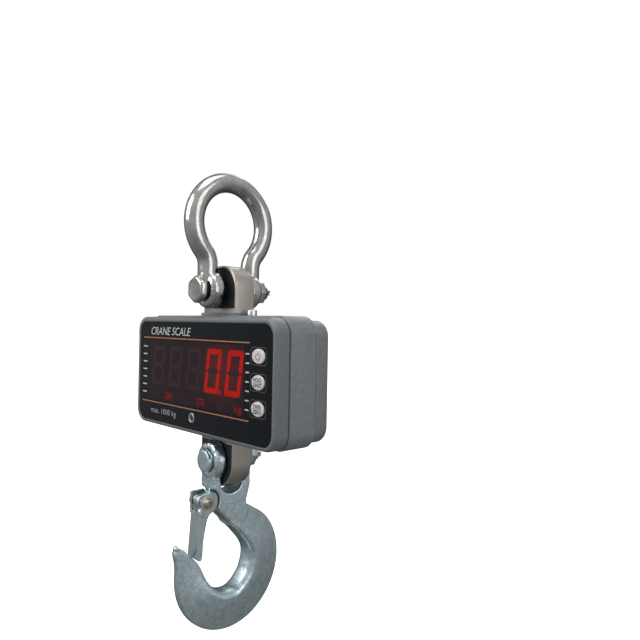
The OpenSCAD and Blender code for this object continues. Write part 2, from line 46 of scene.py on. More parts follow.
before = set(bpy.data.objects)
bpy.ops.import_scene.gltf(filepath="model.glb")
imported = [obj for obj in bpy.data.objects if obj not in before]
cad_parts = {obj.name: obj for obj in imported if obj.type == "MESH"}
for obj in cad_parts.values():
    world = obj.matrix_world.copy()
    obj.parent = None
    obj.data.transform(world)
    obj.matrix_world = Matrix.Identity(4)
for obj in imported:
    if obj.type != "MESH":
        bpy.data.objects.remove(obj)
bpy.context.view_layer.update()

# Heights are measured from the panel's middle, which hangs this far below the origin, in millimetres.
CROWN = 132.4
UPPER_PIN, LOWER_PIN = 61.0, -59.4
CASE_X, CASE_Z = -1.0, 0.6
PIVOT_Y, PIVOT_Z = -20.1, -87.0
PANEL_FACE, WINDOW_FACE = -24.8, -24.75
KEY_X, KEY_Z = 67.2, (17.6, 1.3, -15.1)
BOWL_Y, BOWL_Z = 4.5, -138.5
SCREW_X, SCREW_Z = (CASE_X - 76.5, CASE_X + 76.5), (-31.5, 31.5)
CAP_SCREW_X, CAP_SCREW_Z = (-26.3, 26.3), 42.45
DOOR_X, DOOR_SCREW_Z = 47, (-28, 29)
SOCKET = (-60, 0, -24)
RECEIVER = (-7.5, 0, -29.6)
RULE_Z = (25.7, -23.6)
DIGITS = 5


def span(node):
    """Width, depth and height of a CAD node in metres."""
    low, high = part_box(node)
    return [b - a for a, b in zip(low, high)]


# ---------------------------------------------------------------- settings


class CaseSettings(bpy.types.PropertyGroup):
    width: FloatProperty(
        name="Case width", description="Width of the display case", default=span("main_shell")[0],
        unit="LENGTH"
    )
    height: FloatProperty(
        name="Shell height", description="Height of the main shell", default=span("main_shell")[2],
        unit="LENGTH"
    )
    edge: FloatProperty(
        name="Bezel rounding", description="Radius of the front edge of the bezel", default=0.0026,
        unit="LENGTH"
    )
    colour: FloatVectorProperty(
        name="Case colour", description="Paint of the case; (0.6, 0.11, 0.03) gives the orange version",
        subtype="COLOR", size=3, default=(0.128, 0.141, 0.148), min=0, max=1
    )
    panel: FloatVectorProperty(
        name="Panel colour", description="Film of the front panel", subtype="COLOR", size=3,
        default=(0.0038, 0.0060, 0.0082), min=0, max=1
    )


class DisplaySettings(bpy.types.PropertyGroup):
    digit_height: FloatProperty(
        name="Digit height", description="Height of one digit", default=0.0302, unit="LENGTH"
    )
    digit_pitch: FloatProperty(
        name="Digit pitch", description="Distance from one digit to the next", default=0.02412,
        unit="LENGTH"
    )
    reading: StringProperty(
        name="Reading", description="Figures shown in the last places of the display", default="0.0"
    )
    lit: FloatVectorProperty(
        name="Lit colour", description="Colour of a lit segment", subtype="COLOR", size=3,
        default=(0.50, 0.007, 0.004), min=0, max=1
    )
    glow: FloatProperty(
        name="Glow", description="Brightness of the lit segments", default=0.66, min=0, max=10
    )
    show_words: BoolProperty(
        name="Lettering", description="Print the plain words on the panel and keys", default=True
    )


class MetalSettings(bpy.types.PropertyGroup):
    polished: FloatVectorProperty(
        name="Polished steel", description="Colour of the shackle", subtype="COLOR", size=3,
        default=(0.50, 0.49, 0.475), min=0, max=1
    )
    zinc: FloatVectorProperty(
        name="Zinc plate", description="Colour of the hook", subtype="COLOR", size=3,
        default=(0.60, 0.70, 0.72), min=0, max=1
    )
    nickel: FloatVectorProperty(
        name="Load cell", description="Colour of the load cell bar", subtype="COLOR", size=3,
        default=(0.42, 0.38, 0.345), min=0, max=1
    )
    bar: FloatProperty(
        name="Shackle bar", description="Diameter of the shackle's round bar", default=0.014,
        unit="LENGTH"
    )


class StageSettings(bpy.types.PropertyGroup):
    drop: FloatProperty(
        name="Floor drop", description="How far the floor lies below the origin", default=0.78,
        unit="LENGTH"
    )
    key_power: FloatProperty(
        name="Key light", description="Power of the large soft key light", default=10.5, min=0,
        unit="POWER"
    )
    fill_power: FloatProperty(
        name="Fill light", description="Power of the side light; the top and back lights follow it",
        default=3.5, min=0, unit="POWER"
    )


class ScaleSettings(bpy.types.PropertyGroup):
    case: PointerProperty(type=CaseSettings)
    display: PointerProperty(type=DisplaySettings)
    metal: PointerProperty(type=MetalSettings)
    stage: PointerProperty(type=StageSettings)


def settings():
    return bpy.context.scene.crane_scale


# ---------------------------------------------------------------- mesh making


def raw(x, y, z):
    """A point in metres from millimetres off the row origin."""
    return Vector((x, y, z)) * 0.001


def at(x, y, z):
    """A point in the row frame from millimetres off the middle of the panel."""
    return raw(x, y, z - CROWN)


def piece(name, points, faces, angle=35.0):
    """A mesh object with outward faces, smooth except at edges sharper than angle."""
    mesh = bpy.data.meshes.new(name)
    mesh.from_pydata([tuple(p) for p in points], [], faces)
    bm = bmesh.new()
    bm.from_mesh(mesh)
    bmesh.ops.remove_doubles(bm, verts=bm.verts, dist=1e-7)
    bmesh.ops.recalc_face_normals(bm, faces=bm.faces)
    bm.to_mesh(mesh)
    bm.free()
    obj = bpy.data.objects.new(name, mesh)
    bpy.context.scene.collection.objects.link(obj)
    shade(obj, angle)
    return obj


def shade(obj, angle=35.0):
    obj.data.shade_smooth()
    obj.data.set_sharp_from_angle(angle=radians(angle))


def loft(name, rings, caps=True, loop=False, angle=35.0):
    """Skin over rings of equal length; loop joins the last ring to the first."""
    n = len(rings[0])
    points = [p for ring in rings for p in ring]
    faces = []
    last = len(rings) if loop else len(rings) - 1
    for i in range(last):
        a, b = i * n, (i + 1) % len(rings) * n
        for j in range(n):
            k = (j + 1) % n
            faces.append((a + j, a + k, b + k, b + j))
    if caps and not loop:
        faces.append(tuple(range(n - 1, -1, -1)))
        faces.append(tuple(range((len(rings) - 1) * n, len(rings) * n)))
    return piece(name, points, faces, angle)


def outline(w, h, r, y, z=0.0, inset=0.0, n=10, x=CASE_X):
    """A rounded rectangle at depth y, counter-clockwise from the right."""
    w, h, r = w - 2 * inset, h - 2 * inset, max(r - inset, 0.15)
    ring = []
    for cx, cz, start in ((1, 1, 0), (-1, 1, 90), (-1, -1, 180), (1, -1, 270)):
        for i in range(n + 1):
            a = radians(start + 90 * i / n)
            ring.append(at(x + cx * (w / 2 - r) + r * cos(a), y, z + cz * (h / 2 - r) + r * sin(a)))
    return ring


def ellipse(cx, cz, a, b, y, n=56):
    return [at(cx + a * cos(2 * pi * i / n), y, cz + b * sin(2 * pi * i / n)) for i in range(n)]


def turned(name, profile, centre, axis="y", n=48, loop=False, angle=35.0):
    """A turned part: profile holds (radius, place along the axis) in millimetres about centre."""
    rings = []
    for r, d in profile:
        ring = []
        for i in range(n):
            a = 2 * pi * i / n
            u, v = r * cos(a), r * sin(a)
            offset = {"x": (d, u, v), "y": (u, d, v), "z": (u, v, d)}[axis]
            ring.append(at(*(c + o for c, o in zip(centre, offset))))
        rings.append(ring)
    return loft(name, rings, loop=loop, angle=angle)


def hexagon_ring(r, d, centre, axis, turn=0.0, corner=0.12, n=5):
    """A hexagon with softened corners, r across the corners before softening."""
    ring = []
    for k in range(6):
        a = radians(60 * k + turn)
        before, after = radians(60 * (k - 1) + turn), radians(60 * (k + 1) + turn)
        here = Vector((cos(a), sin(a))) * r
        p = here.lerp(Vector((cos(before), sin(before))) * r, corner)
        q = here.lerp(Vector((cos(after), sin(after))) * r, corner)
        for i in range(n + 1):
            t = i / n
            m = p * (1 - t) ** 2 + here * 2 * t * (1 - t) + q * t * t
            offset = {"x": (d, m.x, m.y), "y": (m.x, d, m.y), "z": (m.x, m.y, d)}[axis]
            ring.append(at(*(c + o for c, o in zip(centre, offset))))
    return ring


def tube(name, path, radius, n=16, closed=False):
    """A round bar along a path of points in millimetres; radius may change along it."""
    points = [Vector(p) for p in path]
    count = len(points)
    radii = radius if isinstance(radius, (list, tuple)) else [radius] * count
    rings, normal = [], None
    for i, p in enumerate(points):
        before = points[(i - 1) % count] if closed or i else p
        after = points[(i + 1) % count] if closed or i < count - 1 else p
        along = (after - before).normalized()
        if normal is None:
            normal = along.cross(Vector((1, 0, 0)))
            if normal.length < 0.2:
                normal = along.cross(Vector((0, 1, 0)))
        normal = (normal - along * normal.dot(along)).normalized()
        side = along.cross(normal)
        ring = []
        for k in range(n):
            a = 2 * pi * k / n
            q = p + normal * radii[i] * cos(a) + side * radii[i] * sin(a)
            ring.append(at(*q))
        rings.append(ring)
    return loft(name, rings, caps=not closed, loop=closed)


def slab(name, shape, y0, y1):
    """A flat shape given as (x, z) points, with its faces at two depths."""
    return loft(name, [[at(x, y0, z) for x, z in shape], [at(x, y1, z) for x, z in shape]])


def side_slab(name, shape, x0, x1, bevel=0.0):
    """A flat shape given as (y, z) points, with its faces at two widths."""
    obj = loft(name, [[at(x0, y, z) for y, z in shape], [at(x1, y, z) for y, z in shape]])
    if bevel:
        edge = obj.modifiers.new("Edges", "BEVEL")
        edge.width, edge.segments, edge.limit_method, edge.angle_limit = bevel * 0.001, 3, "ANGLE", radians(50)
        settle(obj)
        shade(obj)
    return obj


def block(name, low, high):
    x0, y0, z0 = low
    x1, y1, z1 = high
    return slab(name, [(x0, z0), (x1, z0), (x1, z1), (x0, z1)], y0, y1)


def settle(obj):
    """Turns an object's modifiers into plain mesh."""
    graph = bpy.context.evaluated_depsgraph_get()
    mesh = bpy.data.meshes.new_from_object(obj.evaluated_get(graph))
    old = obj.data
    obj.modifiers.clear()
    obj.data = mesh
    mesh.name = obj.name
    bpy.data.meshes.remove(old)
    return obj


def discard(*objs):
    for obj in objs:
        mesh = obj.data
        bpy.data.objects.remove(obj)
        if mesh.users == 0:
            bpy.data.meshes.remove(mesh)


def rough_up(parts, edge, reach=0.22, up=False):
    """Dents the parts of a forging below a height, or above it, as hammering leaves them."""
    for part in parts:
        normals = [v.normal.copy() for v in part.data.vertices]
        for v, out in zip(part.data.vertices, normals):
            z = v.co.z * 1000 + CROWN
            deep = z - edge if up else edge - z
            if deep > 0 and (not up or abs(v.co.y) > 0.0096):
                push = noise.noise(v.co * 330) + 0.6 * noise.noise(v.co * 800)
                v.co += out * push * reach * 0.001 * min(1.0, deep / 6)


def carve(obj, *tools, join=False):
    """Cuts tools out of an object, or adds them to it."""
    for tool in tools:
        step = obj.modifiers.new("Cut", "BOOLEAN")
        step.operation, step.solver, step.object = ("UNION" if join else "DIFFERENCE"), "EXACT", tool
        settle(obj)
        discard(tool)
    return obj


def gather(name, parts, angle=35.0):
    """One object from several, each keeping its materials."""
    bm = bmesh.new()
    mats = []
    for part in parts:
        start = len(bm.faces)
        bm.from_mesh(part.data)
        bm.faces.ensure_lookup_table()
        own = list(part.data.materials) or [None]
        for face in bm.faces[start:]:
            m = own[min(face.material_index, len(own) - 1)]
            if m not in mats:
                mats.append(m)
            face.material_index = mats.index(m)
    mesh = bpy.data.meshes.new(name)
    bm.to_mesh(mesh)
    bm.free()
    for m in mats:
        if m is not None:
            mesh.materials.append(m)
    discard(*parts)
    obj = bpy.data.objects.new(name, mesh)
    bpy.context.scene.collection.objects.link(obj)
    shade(obj, angle)
    return obj


def forge(obj, voxel, passes, factor=0.5):
    """Melts overlapping solids into one soft-edged forging."""
    melt = obj.modifiers.new("Melt", "REMESH")
    melt.mode, melt.voxel_size, melt.use_smooth_shade = "VOXEL", voxel * 0.001, True
    if passes:
        soft = obj.modifiers.new("Soften", "SMOOTH")
        soft.factor, soft.iterations = factor, passes
    settle(obj)
    obj.data.shade_smooth()
    return obj


def spline(x, table):
    """A smooth curve through (place, value) pairs."""
    xs = [p[0] for p in table]
    ys = [p[1] for p in table]
    if x <= xs[0]:
        return ys[0]
    if x >= xs[-1]:
        return ys[-1]
    i = max(k for k in range(len(xs) - 1) if xs[k] <= x)

    def slope(k):
        if k == 0 or k == len(xs) - 1:
            j = min(k, len(xs) - 2)
            return (ys[j + 1] - ys[j]) / (xs[j + 1] - xs[j])
        a = (ys[k] - ys[k - 1]) / (xs[k] - xs[k - 1])
        b = (ys[k + 1] - ys[k]) / (xs[k + 1] - xs[k])
        return 0.0 if a * b <= 0 else 2 * a * b / (a + b)

    h = xs[i + 1] - xs[i]
    t = (x - xs[i]) / h
    return (
        ys[i] * (1 + 2 * t) * (1 - t) ** 2
        + ys[i + 1] * t * t * (3 - 2 * t)
        + slope(i) * h * t * (1 - t) ** 2
        - slope(i + 1) * h * t * t * (1 - t)
    )


def place(obj, body, slot, material, *nodes):
    """Gives a finished piece its material, its body and the CAD nodes that it stands for."""
    if material is not None:
        obj.data.materials.clear()
        obj.data.materials.append(material)
    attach(obj, body)
    if nodes:
        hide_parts(*nodes)
    return obj


# ---------------------------------------------------------------- repeats


def repeater():
    """Geometry Nodes tree that sets one shape on every point of a mesh."""
    tree = bpy.data.node_groups.get("Set on points")
    if tree:
        return tree
    tree = bpy.data.node_groups.new("Set on points", "GeometryNodeTree")
    ask = tree.interface.new_socket
    ask(name="Points", in_out="INPUT", socket_type="NodeSocketGeometry")
    ask(name="Shape", in_out="INPUT", socket_type="NodeSocketObject")
    ask(name="Size", in_out="INPUT", socket_type="NodeSocketFloat").default_value = 1.0
    ask(name="Turn", in_out="INPUT", socket_type="NodeSocketVector")
    ask(name="Finish", in_out="INPUT", socket_type="NodeSocketMaterial")
    ask(name="Geometry", in_out="OUTPUT", socket_type="NodeSocketGeometry")
    new, link = tree.nodes.new, tree.links.new
    inp, out = new("NodeGroupInput"), new("NodeGroupOutput")
    shape, onto = new("GeometryNodeObjectInfo"), new("GeometryNodeInstanceOnPoints")
    real, paint = new("GeometryNodeRealizeInstances"), new("GeometryNodeSetMaterial")
    link(inp.outputs["Shape"], shape.inputs["Object"])
    link(inp.outputs["Points"], onto.inputs["Points"])
    link(shape.outputs["Geometry"], onto.inputs["Instance"])
    link(inp.outputs["Size"], onto.inputs["Scale"])
    link(inp.outputs["Turn"], onto.inputs["Rotation"])
    link(onto.outputs["Instances"], real.inputs["Geometry"])
    link(real.outputs["Geometry"], paint.inputs["Geometry"])
    link(inp.outputs["Finish"], paint.inputs["Material"])
    link(paint.outputs["Geometry"], out.inputs["Geometry"])
    return tree


def repeat(name, shape, points, material, turn=(0, 0, 0), size=1.0, angle=35.0):
    """Copies of shape, which is drawn about the row origin, at points in millimetres."""
    mesh = bpy.data.meshes.new(name)
    mesh.from_pydata([tuple(at(*p)) for p in points], [], [])
    obj = bpy.data.objects.new(name, mesh)
    bpy.context.scene.collection.objects.link(obj)
    step = obj.modifiers.new("Repeat", "NODES")
    tree = repeater()
    step.node_group = tree
    values = {"Shape": shape, "Size": size, "Turn": turn, "Finish": material}
    for item in tree.interface.items_tree:
        if item.in_out == "INPUT" and item.name in values:
            step[item.identifier] = values[item.name]
    settle(obj)
    discard(shape)
    shade(obj, angle)
    return obj


# ---------------------------------------------------------------- shader effects


def effect(name, inputs, outputs):
    """An empty shader node group with named sockets."""
    tree = bpy.data.node_groups.new(name, "ShaderNodeTree")
    for label, kind, value in inputs:
        socket = tree.interface.new_socket(name=label, in_out="INPUT", socket_type=kind)
        if value is not None:
            socket.default_value = value
    for label, kind in outputs:
        tree.interface.new_socket(name=label, in_out="OUTPUT", socket_type=kind)
    return tree, tree.nodes.new("NodeGroupInput"), tree.nodes.new("NodeGroupOutput")


VEC, NUM = "NodeSocketVector", "NodeSocketFloat"


def mottle_effect():
    """Cloudy patches: a mask between 0 and 1."""
    tree = bpy.data.node_groups.get("Mottle")
    if tree:
        return tree
    tree, inp, out = effect(
        "Mottle", [("Vector", VEC, None), ("Scale", NUM, 60.0), ("Contrast", NUM, 0.25)],
        [("Mask", NUM)]
    )
    new, link = tree.nodes.new, tree.links.new
    noise, low, high, ramp = new(
        "ShaderNodeTexNoise"
    ), new("ShaderNodeMath"), new("ShaderNodeMath"), new("ShaderNodeMapRange")
    noise.inputs["Detail"].default_value = 6.0
    noise.inputs["Roughness"].default_value = 0.62
    noise.inputs["Distortion"].default_value = 0.4
    low.operation, high.operation = "SUBTRACT", "ADD"
    low.inputs[0].default_value = high.inputs[0].default_value = 0.5
    ramp.interpolation_type = "SMOOTHSTEP"
    link(inp.outputs["Vector"], noise.inputs["Vector"])
    link(inp.outputs["Scale"], noise.inputs["Scale"])
    link(inp.outputs["Contrast"], low.inputs[1])
    link(inp.outputs["Contrast"], high.inputs[1])
    link(noise.outputs["Fac"], ramp.inputs["Value"])
    link(low.outputs[0], ramp.inputs["From Min"])
    link(high.outputs[0], ramp.inputs["From Max"])
    link(ramp.outputs["Result"], out.inputs["Mask"])
    return tree


def grain_effect():
    """Fine cast or plated grain as a height in metres."""
    tree = bpy.data.node_groups.get("Grain")
    if tree:
        return tree
    tree, inp, out = effect(
        "Grain", [("Vector", VEC, None), ("Scale", NUM, 1500.0), ("Depth", NUM, 0.00002)],
        [("Height", NUM)]
    )
    new, link = tree.nodes.new, tree.links.new
    fine, broad, third, add, depth = (
        new(t)
        for t in (
            "ShaderNodeTexNoise", "ShaderNodeTexNoise", "ShaderNodeMath", "ShaderNodeMath",
            "ShaderNodeMath"
        )
    )
    fine.inputs["Detail"].default_value = 3.0
    broad.inputs["Detail"].default_value = 2.0
    third.operation, add.operation, depth.operation = "MULTIPLY", "ADD", "MULTIPLY"
    third.inputs[1].default_value = 0.22
    link(inp.outputs["Vector"], fine.inputs["Vector"])
    link(inp.outputs["Vector"], broad.inputs["Vector"])
    link(inp.outputs["Scale"], fine.inputs["Scale"])
    link(inp.outputs["Scale"], third.inputs[0])
    link(third.outputs[0], broad.inputs["Scale"])
    link(fine.outputs["Fac"], add.inputs[0])
    link(broad.outputs["Fac"], add.inputs[1])
    link(add.outputs[0], depth.inputs[0])
    link(inp.outputs["Depth"], depth.inputs[1])
    link(depth.outputs[0], out.inputs["Height"])
    return tree


def stroke_effect():
    """Long fine tool strokes: a height in metres and a mask."""
    tree = bpy.data.node_groups.get("Strokes")
    if tree:
        return tree
    tree, inp, out = effect(
        "Strokes",
        [("Vector", VEC, None), ("Stretch", VEC, (60.0, 3000.0, 3000.0)), ("Depth", NUM, 0.000008)],
        [("Height", NUM), ("Mask", NUM)]
    )
    new, link = tree.nodes.new, tree.links.new
    scale, noise, depth = new("ShaderNodeVectorMath"), new("ShaderNodeTexNoise"), new("ShaderNodeMath")
    scale.operation, depth.operation = "MULTIPLY", "MULTIPLY"
    noise.inputs["Scale"].default_value = 1.0
    noise.inputs["Detail"].default_value = 4.0
    noise.inputs["Roughness"].default_value = 0.7
    link(inp.outputs["Vector"], scale.inputs[0])
    link(inp.outputs["Stretch"], scale.inputs[1])
    link(scale.outputs[0], noise.inputs["Vector"])
    link(noise.outputs["Fac"], depth.inputs[0])
    link(inp.outputs["Depth"], depth.inputs[1])
    link(depth.outputs[0], out.inputs["Height"])
    link(noise.outputs["Fac"], out.inputs["Mask"])
    return tree


def edge_rub_and_highlight_effect():
    """Rubbed and highlit edges: a mask from how sharply the surface turns; it lightens sharp edges, partly as
    wear and partly as a painted highlight.
    """
    tree = bpy.data.node_groups.get("Edge wear")
    if tree:
        return tree
    tree, inp, out = effect("Edge wear", [("Vector", VEC, None), ("Amount", NUM, 0.5)], [("Mask", NUM)])
    new, link = tree.nodes.new, tree.links.new
    geo, ramp, noise, mult, amount = (
        new(t)
        for t in (
            "ShaderNodeNewGeometry", "ShaderNodeMapRange", "ShaderNodeTexNoise", "ShaderNodeMath",
            "ShaderNodeMath"
        )
    )
    ramp.inputs["From Min"].default_value, ramp.inputs["From Max"].default_value = 0.512, 0.58
    noise.inputs["Scale"].default_value = 320.0
    mult.operation, amount.operation = "MULTIPLY", "MULTIPLY"
    link(geo.outputs["Pointiness"], ramp.inputs["Value"])
    link(inp.outputs["Vector"], noise.inputs["Vector"])
    link(ramp.outputs["Result"], mult.inputs[0])
    link(noise.outputs["Fac"], mult.inputs[1])
    link(mult.outputs[0], amount.inputs[0])
    link(inp.outputs["Amount"], amount.inputs[1])
    link(amount.outputs[0], out.inputs["Mask"])
    return tree


def finish(
    name, colour, second, rough, metallic=0.0, mottle=(60.0, 0.25), grain=(1500.0, 0.00002),
    strokes=None, edge_rub_and_highlight_colour=None, edge_rub_and_highlight=0.0, coat=0.0, coat_rough=0.1, emission=None, strength=0.0,
    specular=0.5
):
    """A finish: two colours mixed in patches, roughness that wanders, grain or strokes, and edges lightened
    partly by wear and partly by a painted highlight.
    """
    mat = bpy.data.materials.get(name)
    if mat:
        return mat
    mat = bpy.data.materials.new(name)
    mat.use_nodes = True
    mat.diffuse_color = (*colour, 1)
    tree = mat.node_tree
    new, link = tree.nodes.new, tree.links.new
    shader = tree.nodes["Principled BSDF"]
    shader.inputs["Metallic"].default_value = metallic
    shader.inputs["Coat Weight"].default_value = coat
    shader.inputs["Coat Roughness"].default_value = coat_rough
    shader.inputs["Specular IOR Level"].default_value = specular
    where = new("ShaderNodeTexCoord").outputs["Object"]

    def use(group, **values):
        node = new("ShaderNodeGroup")
        node.node_tree = group
        link(where, node.inputs["Vector"])
        for key, value in values.items():
            node.inputs[key].default_value = value
        return node

    patches = use(mottle_effect(), Scale=mottle[0], Contrast=mottle[1])
    mix = new("ShaderNodeMix")
    mix.data_type = "RGBA"
    mix.inputs["A"].default_value, mix.inputs["B"].default_value = (*colour, 1), (*second, 1)
    link(patches.outputs["Mask"], mix.inputs["Factor"])
    result = mix.outputs["Result"]
    # Sharp edges take the lighter edge colour: partly rubbed wear, partly a painted highlight along the edge.
    if edge_rub_and_highlight:
        edges = use(edge_rub_and_highlight_effect(), Amount=edge_rub_and_highlight)
        over = new("ShaderNodeMix")
        over.data_type = "RGBA"
        over.inputs["B"].default_value = (*(edge_rub_and_highlight_colour or second), 1)
        link(edges.outputs["Mask"], over.inputs["Factor"])
        link(result, over.inputs["A"])
        result = over.outputs["Result"]
    link(result, shader.inputs["Base Color"])

    wander = use(mottle_effect(), Scale=mottle[0] * 2.3, Contrast=0.3)
    ramp = new("ShaderNodeMapRange")
    ramp.inputs["To Min"].default_value, ramp.inputs["To Max"].default_value = rough
    link(wander.outputs["Mask"], ramp.inputs["Value"])
    link(ramp.outputs["Result"], shader.inputs["Roughness"])

    height = use(grain_effect(), Scale=grain[0], Depth=grain[1]).outputs["Height"]
    if strokes:
        lines = use(stroke_effect(), Stretch=strokes[0], Depth=strokes[1])
        total = new("ShaderNodeMath")
        link(height, total.inputs[0])
        link(lines.outputs["Height"], total.inputs[1])
        height = total.outputs[0]
    bump = new("ShaderNodeBump")
    bump.inputs["Strength"].default_value = 1.0
    bump.inputs["Distance"].default_value = 1.0
    link(height, bump.inputs["Height"])
    link(bump.outputs["Normal"], shader.inputs["Normal"])
    if emission:
        shader.inputs["Emission Color"].default_value = (*emission, 1)
        shader.inputs["Emission Strength"].default_value = strength
    return mat


def tone(colour, k):
    return tuple(min(1.0, c * k) for c in colour)


# Where a metal finish below gives an edge colour, its sharp edges are lightened: partly edge wear, partly a
# painted highlight.
def polished_steel():
    c = tuple(settings().metal.polished)
    return finish(
        "Polished stainless steel", c, tone(c, 0.7), (0.08, 0.22), 1.0, (110.0, 0.24), (700.0, 0.00003),
        ((700.0, 700.0, 60.0), 0.00003), tone(c, 1.5), 0.5
    )


def zinc_forging():
    c = tuple(settings().metal.zinc)
    return finish(
        "Zinc-plated forging", c, (c[0] * 0.66, c[1] * 0.72, c[2] * 0.76), (0.24, 0.42), 1.0,
        (260.0, 0.24), (420.0, 0.00018), None, (0.74, 0.80, 0.80), 0.8
    )


def zinc_sheet():
    c = tuple(settings().metal.zinc)
    return finish(
        "Zinc-plated sheet", tone(c, 0.86), tone(c, 0.66), (0.28, 0.42), 1.0, (120.0, 0.25),
        (1600.0, 0.00001), ((1500.0, 1500.0, 90.0), 0.000008), (0.7, 0.75, 0.75), 0.6
    )


def nickel_bar():
    c = tuple(settings().metal.nickel)
    return finish(
        "Nickel-plated bar", c, tone(c, 0.8), (0.30, 0.42), 1.0, (45.0, 0.3), (2200.0, 0.000006),
        ((2600.0, 2600.0, 70.0), 0.00001), tone(c, 1.4), 0.5
    )


# Near-black sheet laid on the load cell's faces between its eyes and the bar: painted shade and painted dark
# reflection.
def painted_shade_pad():
    return finish(
        "Black facing", (0.010, 0.012, 0.015), (0.016, 0.017, 0.02), (0.45, 0.6), 0.0, (120.0, 0.3),
        (1500.0, 0.00002), specular=0.3
    )


# Near-black steel: painted shade for the bolt shank in the gap under the head and past the nut.
def painted_shade_steel():
    return finish(
        "Dark steel", (0.05, 0.05, 0.05), (0.03, 0.03, 0.03), (0.35, 0.5), 1.0, (200.0, 0.3),
        (1500.0, 0.00002)
    )


def washer_steel():
    return finish(
        "Washer steel", (0.42, 0.43, 0.41), (0.33, 0.33, 0.31), (0.28, 0.4), 1.0, (260.0, 0.3),
        (2200.0, 0.00001), None, (0.7, 0.7, 0.66), 0.6
    )


def bright_screw():
    return finish(
        "Bright screw steel", (0.55, 0.55, 0.54), (0.38, 0.38, 0.38), (0.16, 0.3), 1.0, (300.0, 0.25),
        (3000.0, 0.000006), None, (0.8, 0.8, 0.8), 0.6
    )


def yellow_zinc():
    return finish(
        "Yellow zinc plate", (0.44, 0.37, 0.24), (0.30, 0.27, 0.22), (0.22, 0.4), 1.0, (250.0, 0.25),
        (2500.0, 0.000008), None, (0.75, 0.66, 0.45), 0.7
    )


# The paint's lighter edge colour is partly worn paint and partly a painted rim highlight.
def case_paint():
    c = tuple(settings().case.colour)
    return finish(
        "Housing paint", c, tone(c, 0.80), (0.38, 0.52), 0.0, (420.0, 0.22), (750.0, 0.00007), None,
        tone(c, 1.6), 0.7, coat=0.12, coat_rough=0.35
    )


def panel_film():
    c = tuple(settings().case.panel)
    return finish(
        "Panel film", c, tone(c, 0.75), (0.16, 0.24), 0.0, (30.0, 0.35), (2600.0, 0.0000025), None,
        specular=0.12
    )


def tinted_window_painted_glow():
    mat = bpy.data.materials.get("Tinted window")
    if mat:
        return mat
    mat = finish(
        "Tinted window", (0.0185, 0.0115, 0.0135), (0.015, 0.0095, 0.0112), (0.14, 0.2), 0.0,
        (25.0, 0.3), (2600.0, 0.000002), specular=0.08
    )
    tree = mat.node_tree
    new, link = tree.nodes.new, tree.links.new
    shader = tree.nodes["Principled BSDF"]
    # A dim red glow painted on the window round the lit digits: painted light from the digits behind it.
    where, shift, glow_spot, ramp, mix = (
        new(t)
        for t in (
            "ShaderNodeTexCoord", "ShaderNodeMapping", "ShaderNodeTexGradient", "ShaderNodeMapRange",
            "ShaderNodeMix"
        )
    )
    glow_spot.gradient_type = "SPHERICAL"
    centre = at(29.0, WINDOW_FACE, 5.0)
    shift.inputs["Location"].default_value = (-centre.x / 0.034, 0.0, -centre.z / 0.026)
    shift.inputs["Scale"].default_value = (1 / 0.034, 0.0, 1 / 0.026)
    mix.data_type = "RGBA"
    mix.inputs["A"].default_value, mix.inputs["B"].default_value = (0, 0, 0, 1), (0.055, 0.003, 0.002, 1)
    link(where.outputs["Object"], shift.inputs["Vector"])
    link(shift.outputs["Vector"], glow_spot.inputs["Vector"])
    link(glow_spot.outputs["Fac"], ramp.inputs["Value"])
    ramp.inputs["From Max"].default_value = 0.8
    ramp.interpolation_type = "SMOOTHSTEP"
    link(ramp.outputs["Result"], mix.inputs["Factor"])
    link(mix.outputs["Result"], shader.inputs["Emission Color"])
    shader.inputs["Emission Strength"].default_value = 1.0
    return mat


def dim_segment():
    return finish(
        "Unlit segment", (0.030, 0.0125, 0.015), (0.026, 0.011, 0.0135), (0.2, 0.3), 0.0, (90.0, 0.3),
        (2000.0, 0.000003), specular=0.12
    )


def lit_segment():
    show = settings().display
    c = tuple(show.lit)
    return finish(
        "Lit segment", tone(c, 0.12), tone(c, 0.09), (0.3, 0.4), 0.0, (90.0, 0.3), (2000.0, 0.000003),
        emission=c, strength=show.glow, specular=0.1
    )


def lit_legend():
    show = settings().display
    c = tuple(show.lit)
    return finish(
        "Lit legend", tone(c, 0.1), tone(c, 0.08), (0.3, 0.4), 0.0, (90.0, 0.3), (2000.0, 0.000003),
        emission=c, strength=show.glow * 0.5, specular=0.1
    )


def print_ink(name, colour):
    return finish(name, colour, tone(colour, 0.88), (0.35, 0.5), 0.0, (150.0, 0.3), (3000.0, 0.000004))


def white_key():
    return finish(
        "Key plastic", (0.56, 0.57, 0.57), (0.50, 0.51, 0.51), (0.3, 0.42), 0.0, (60.0, 0.3),
        (2200.0, 0.000008), edge_rub_and_highlight_colour=(0.66, 0.66, 0.66), edge_rub_and_highlight=0.4
    )


def black_plastic():
    return finish(
        "Black plastic", (0.012, 0.011, 0.012), (0.018, 0.017, 0.018), (0.35, 0.5), 0.0, (80.0, 0.3),
        (1800.0, 0.00001)
    )


def seal_rubber():
    return finish(
        "Seal rubber", (0.014, 0.014, 0.015), (0.022, 0.022, 0.022), (0.55, 0.7), 0.0, (80.0, 0.3),
        (1500.0, 0.00002)
    )


def seal_plate():
    return finish(
        "Seal plate", (0.21, 0.19, 0.195), (0.17, 0.155, 0.16), (0.4, 0.55), 0.3, (80.0, 0.3),
        (1500.0, 0.00002), edge_rub_and_highlight_colour=(0.2, 0.2, 0.2), edge_rub_and_highlight=0.6
    )


# ---------------------------------------------------------------- shackle


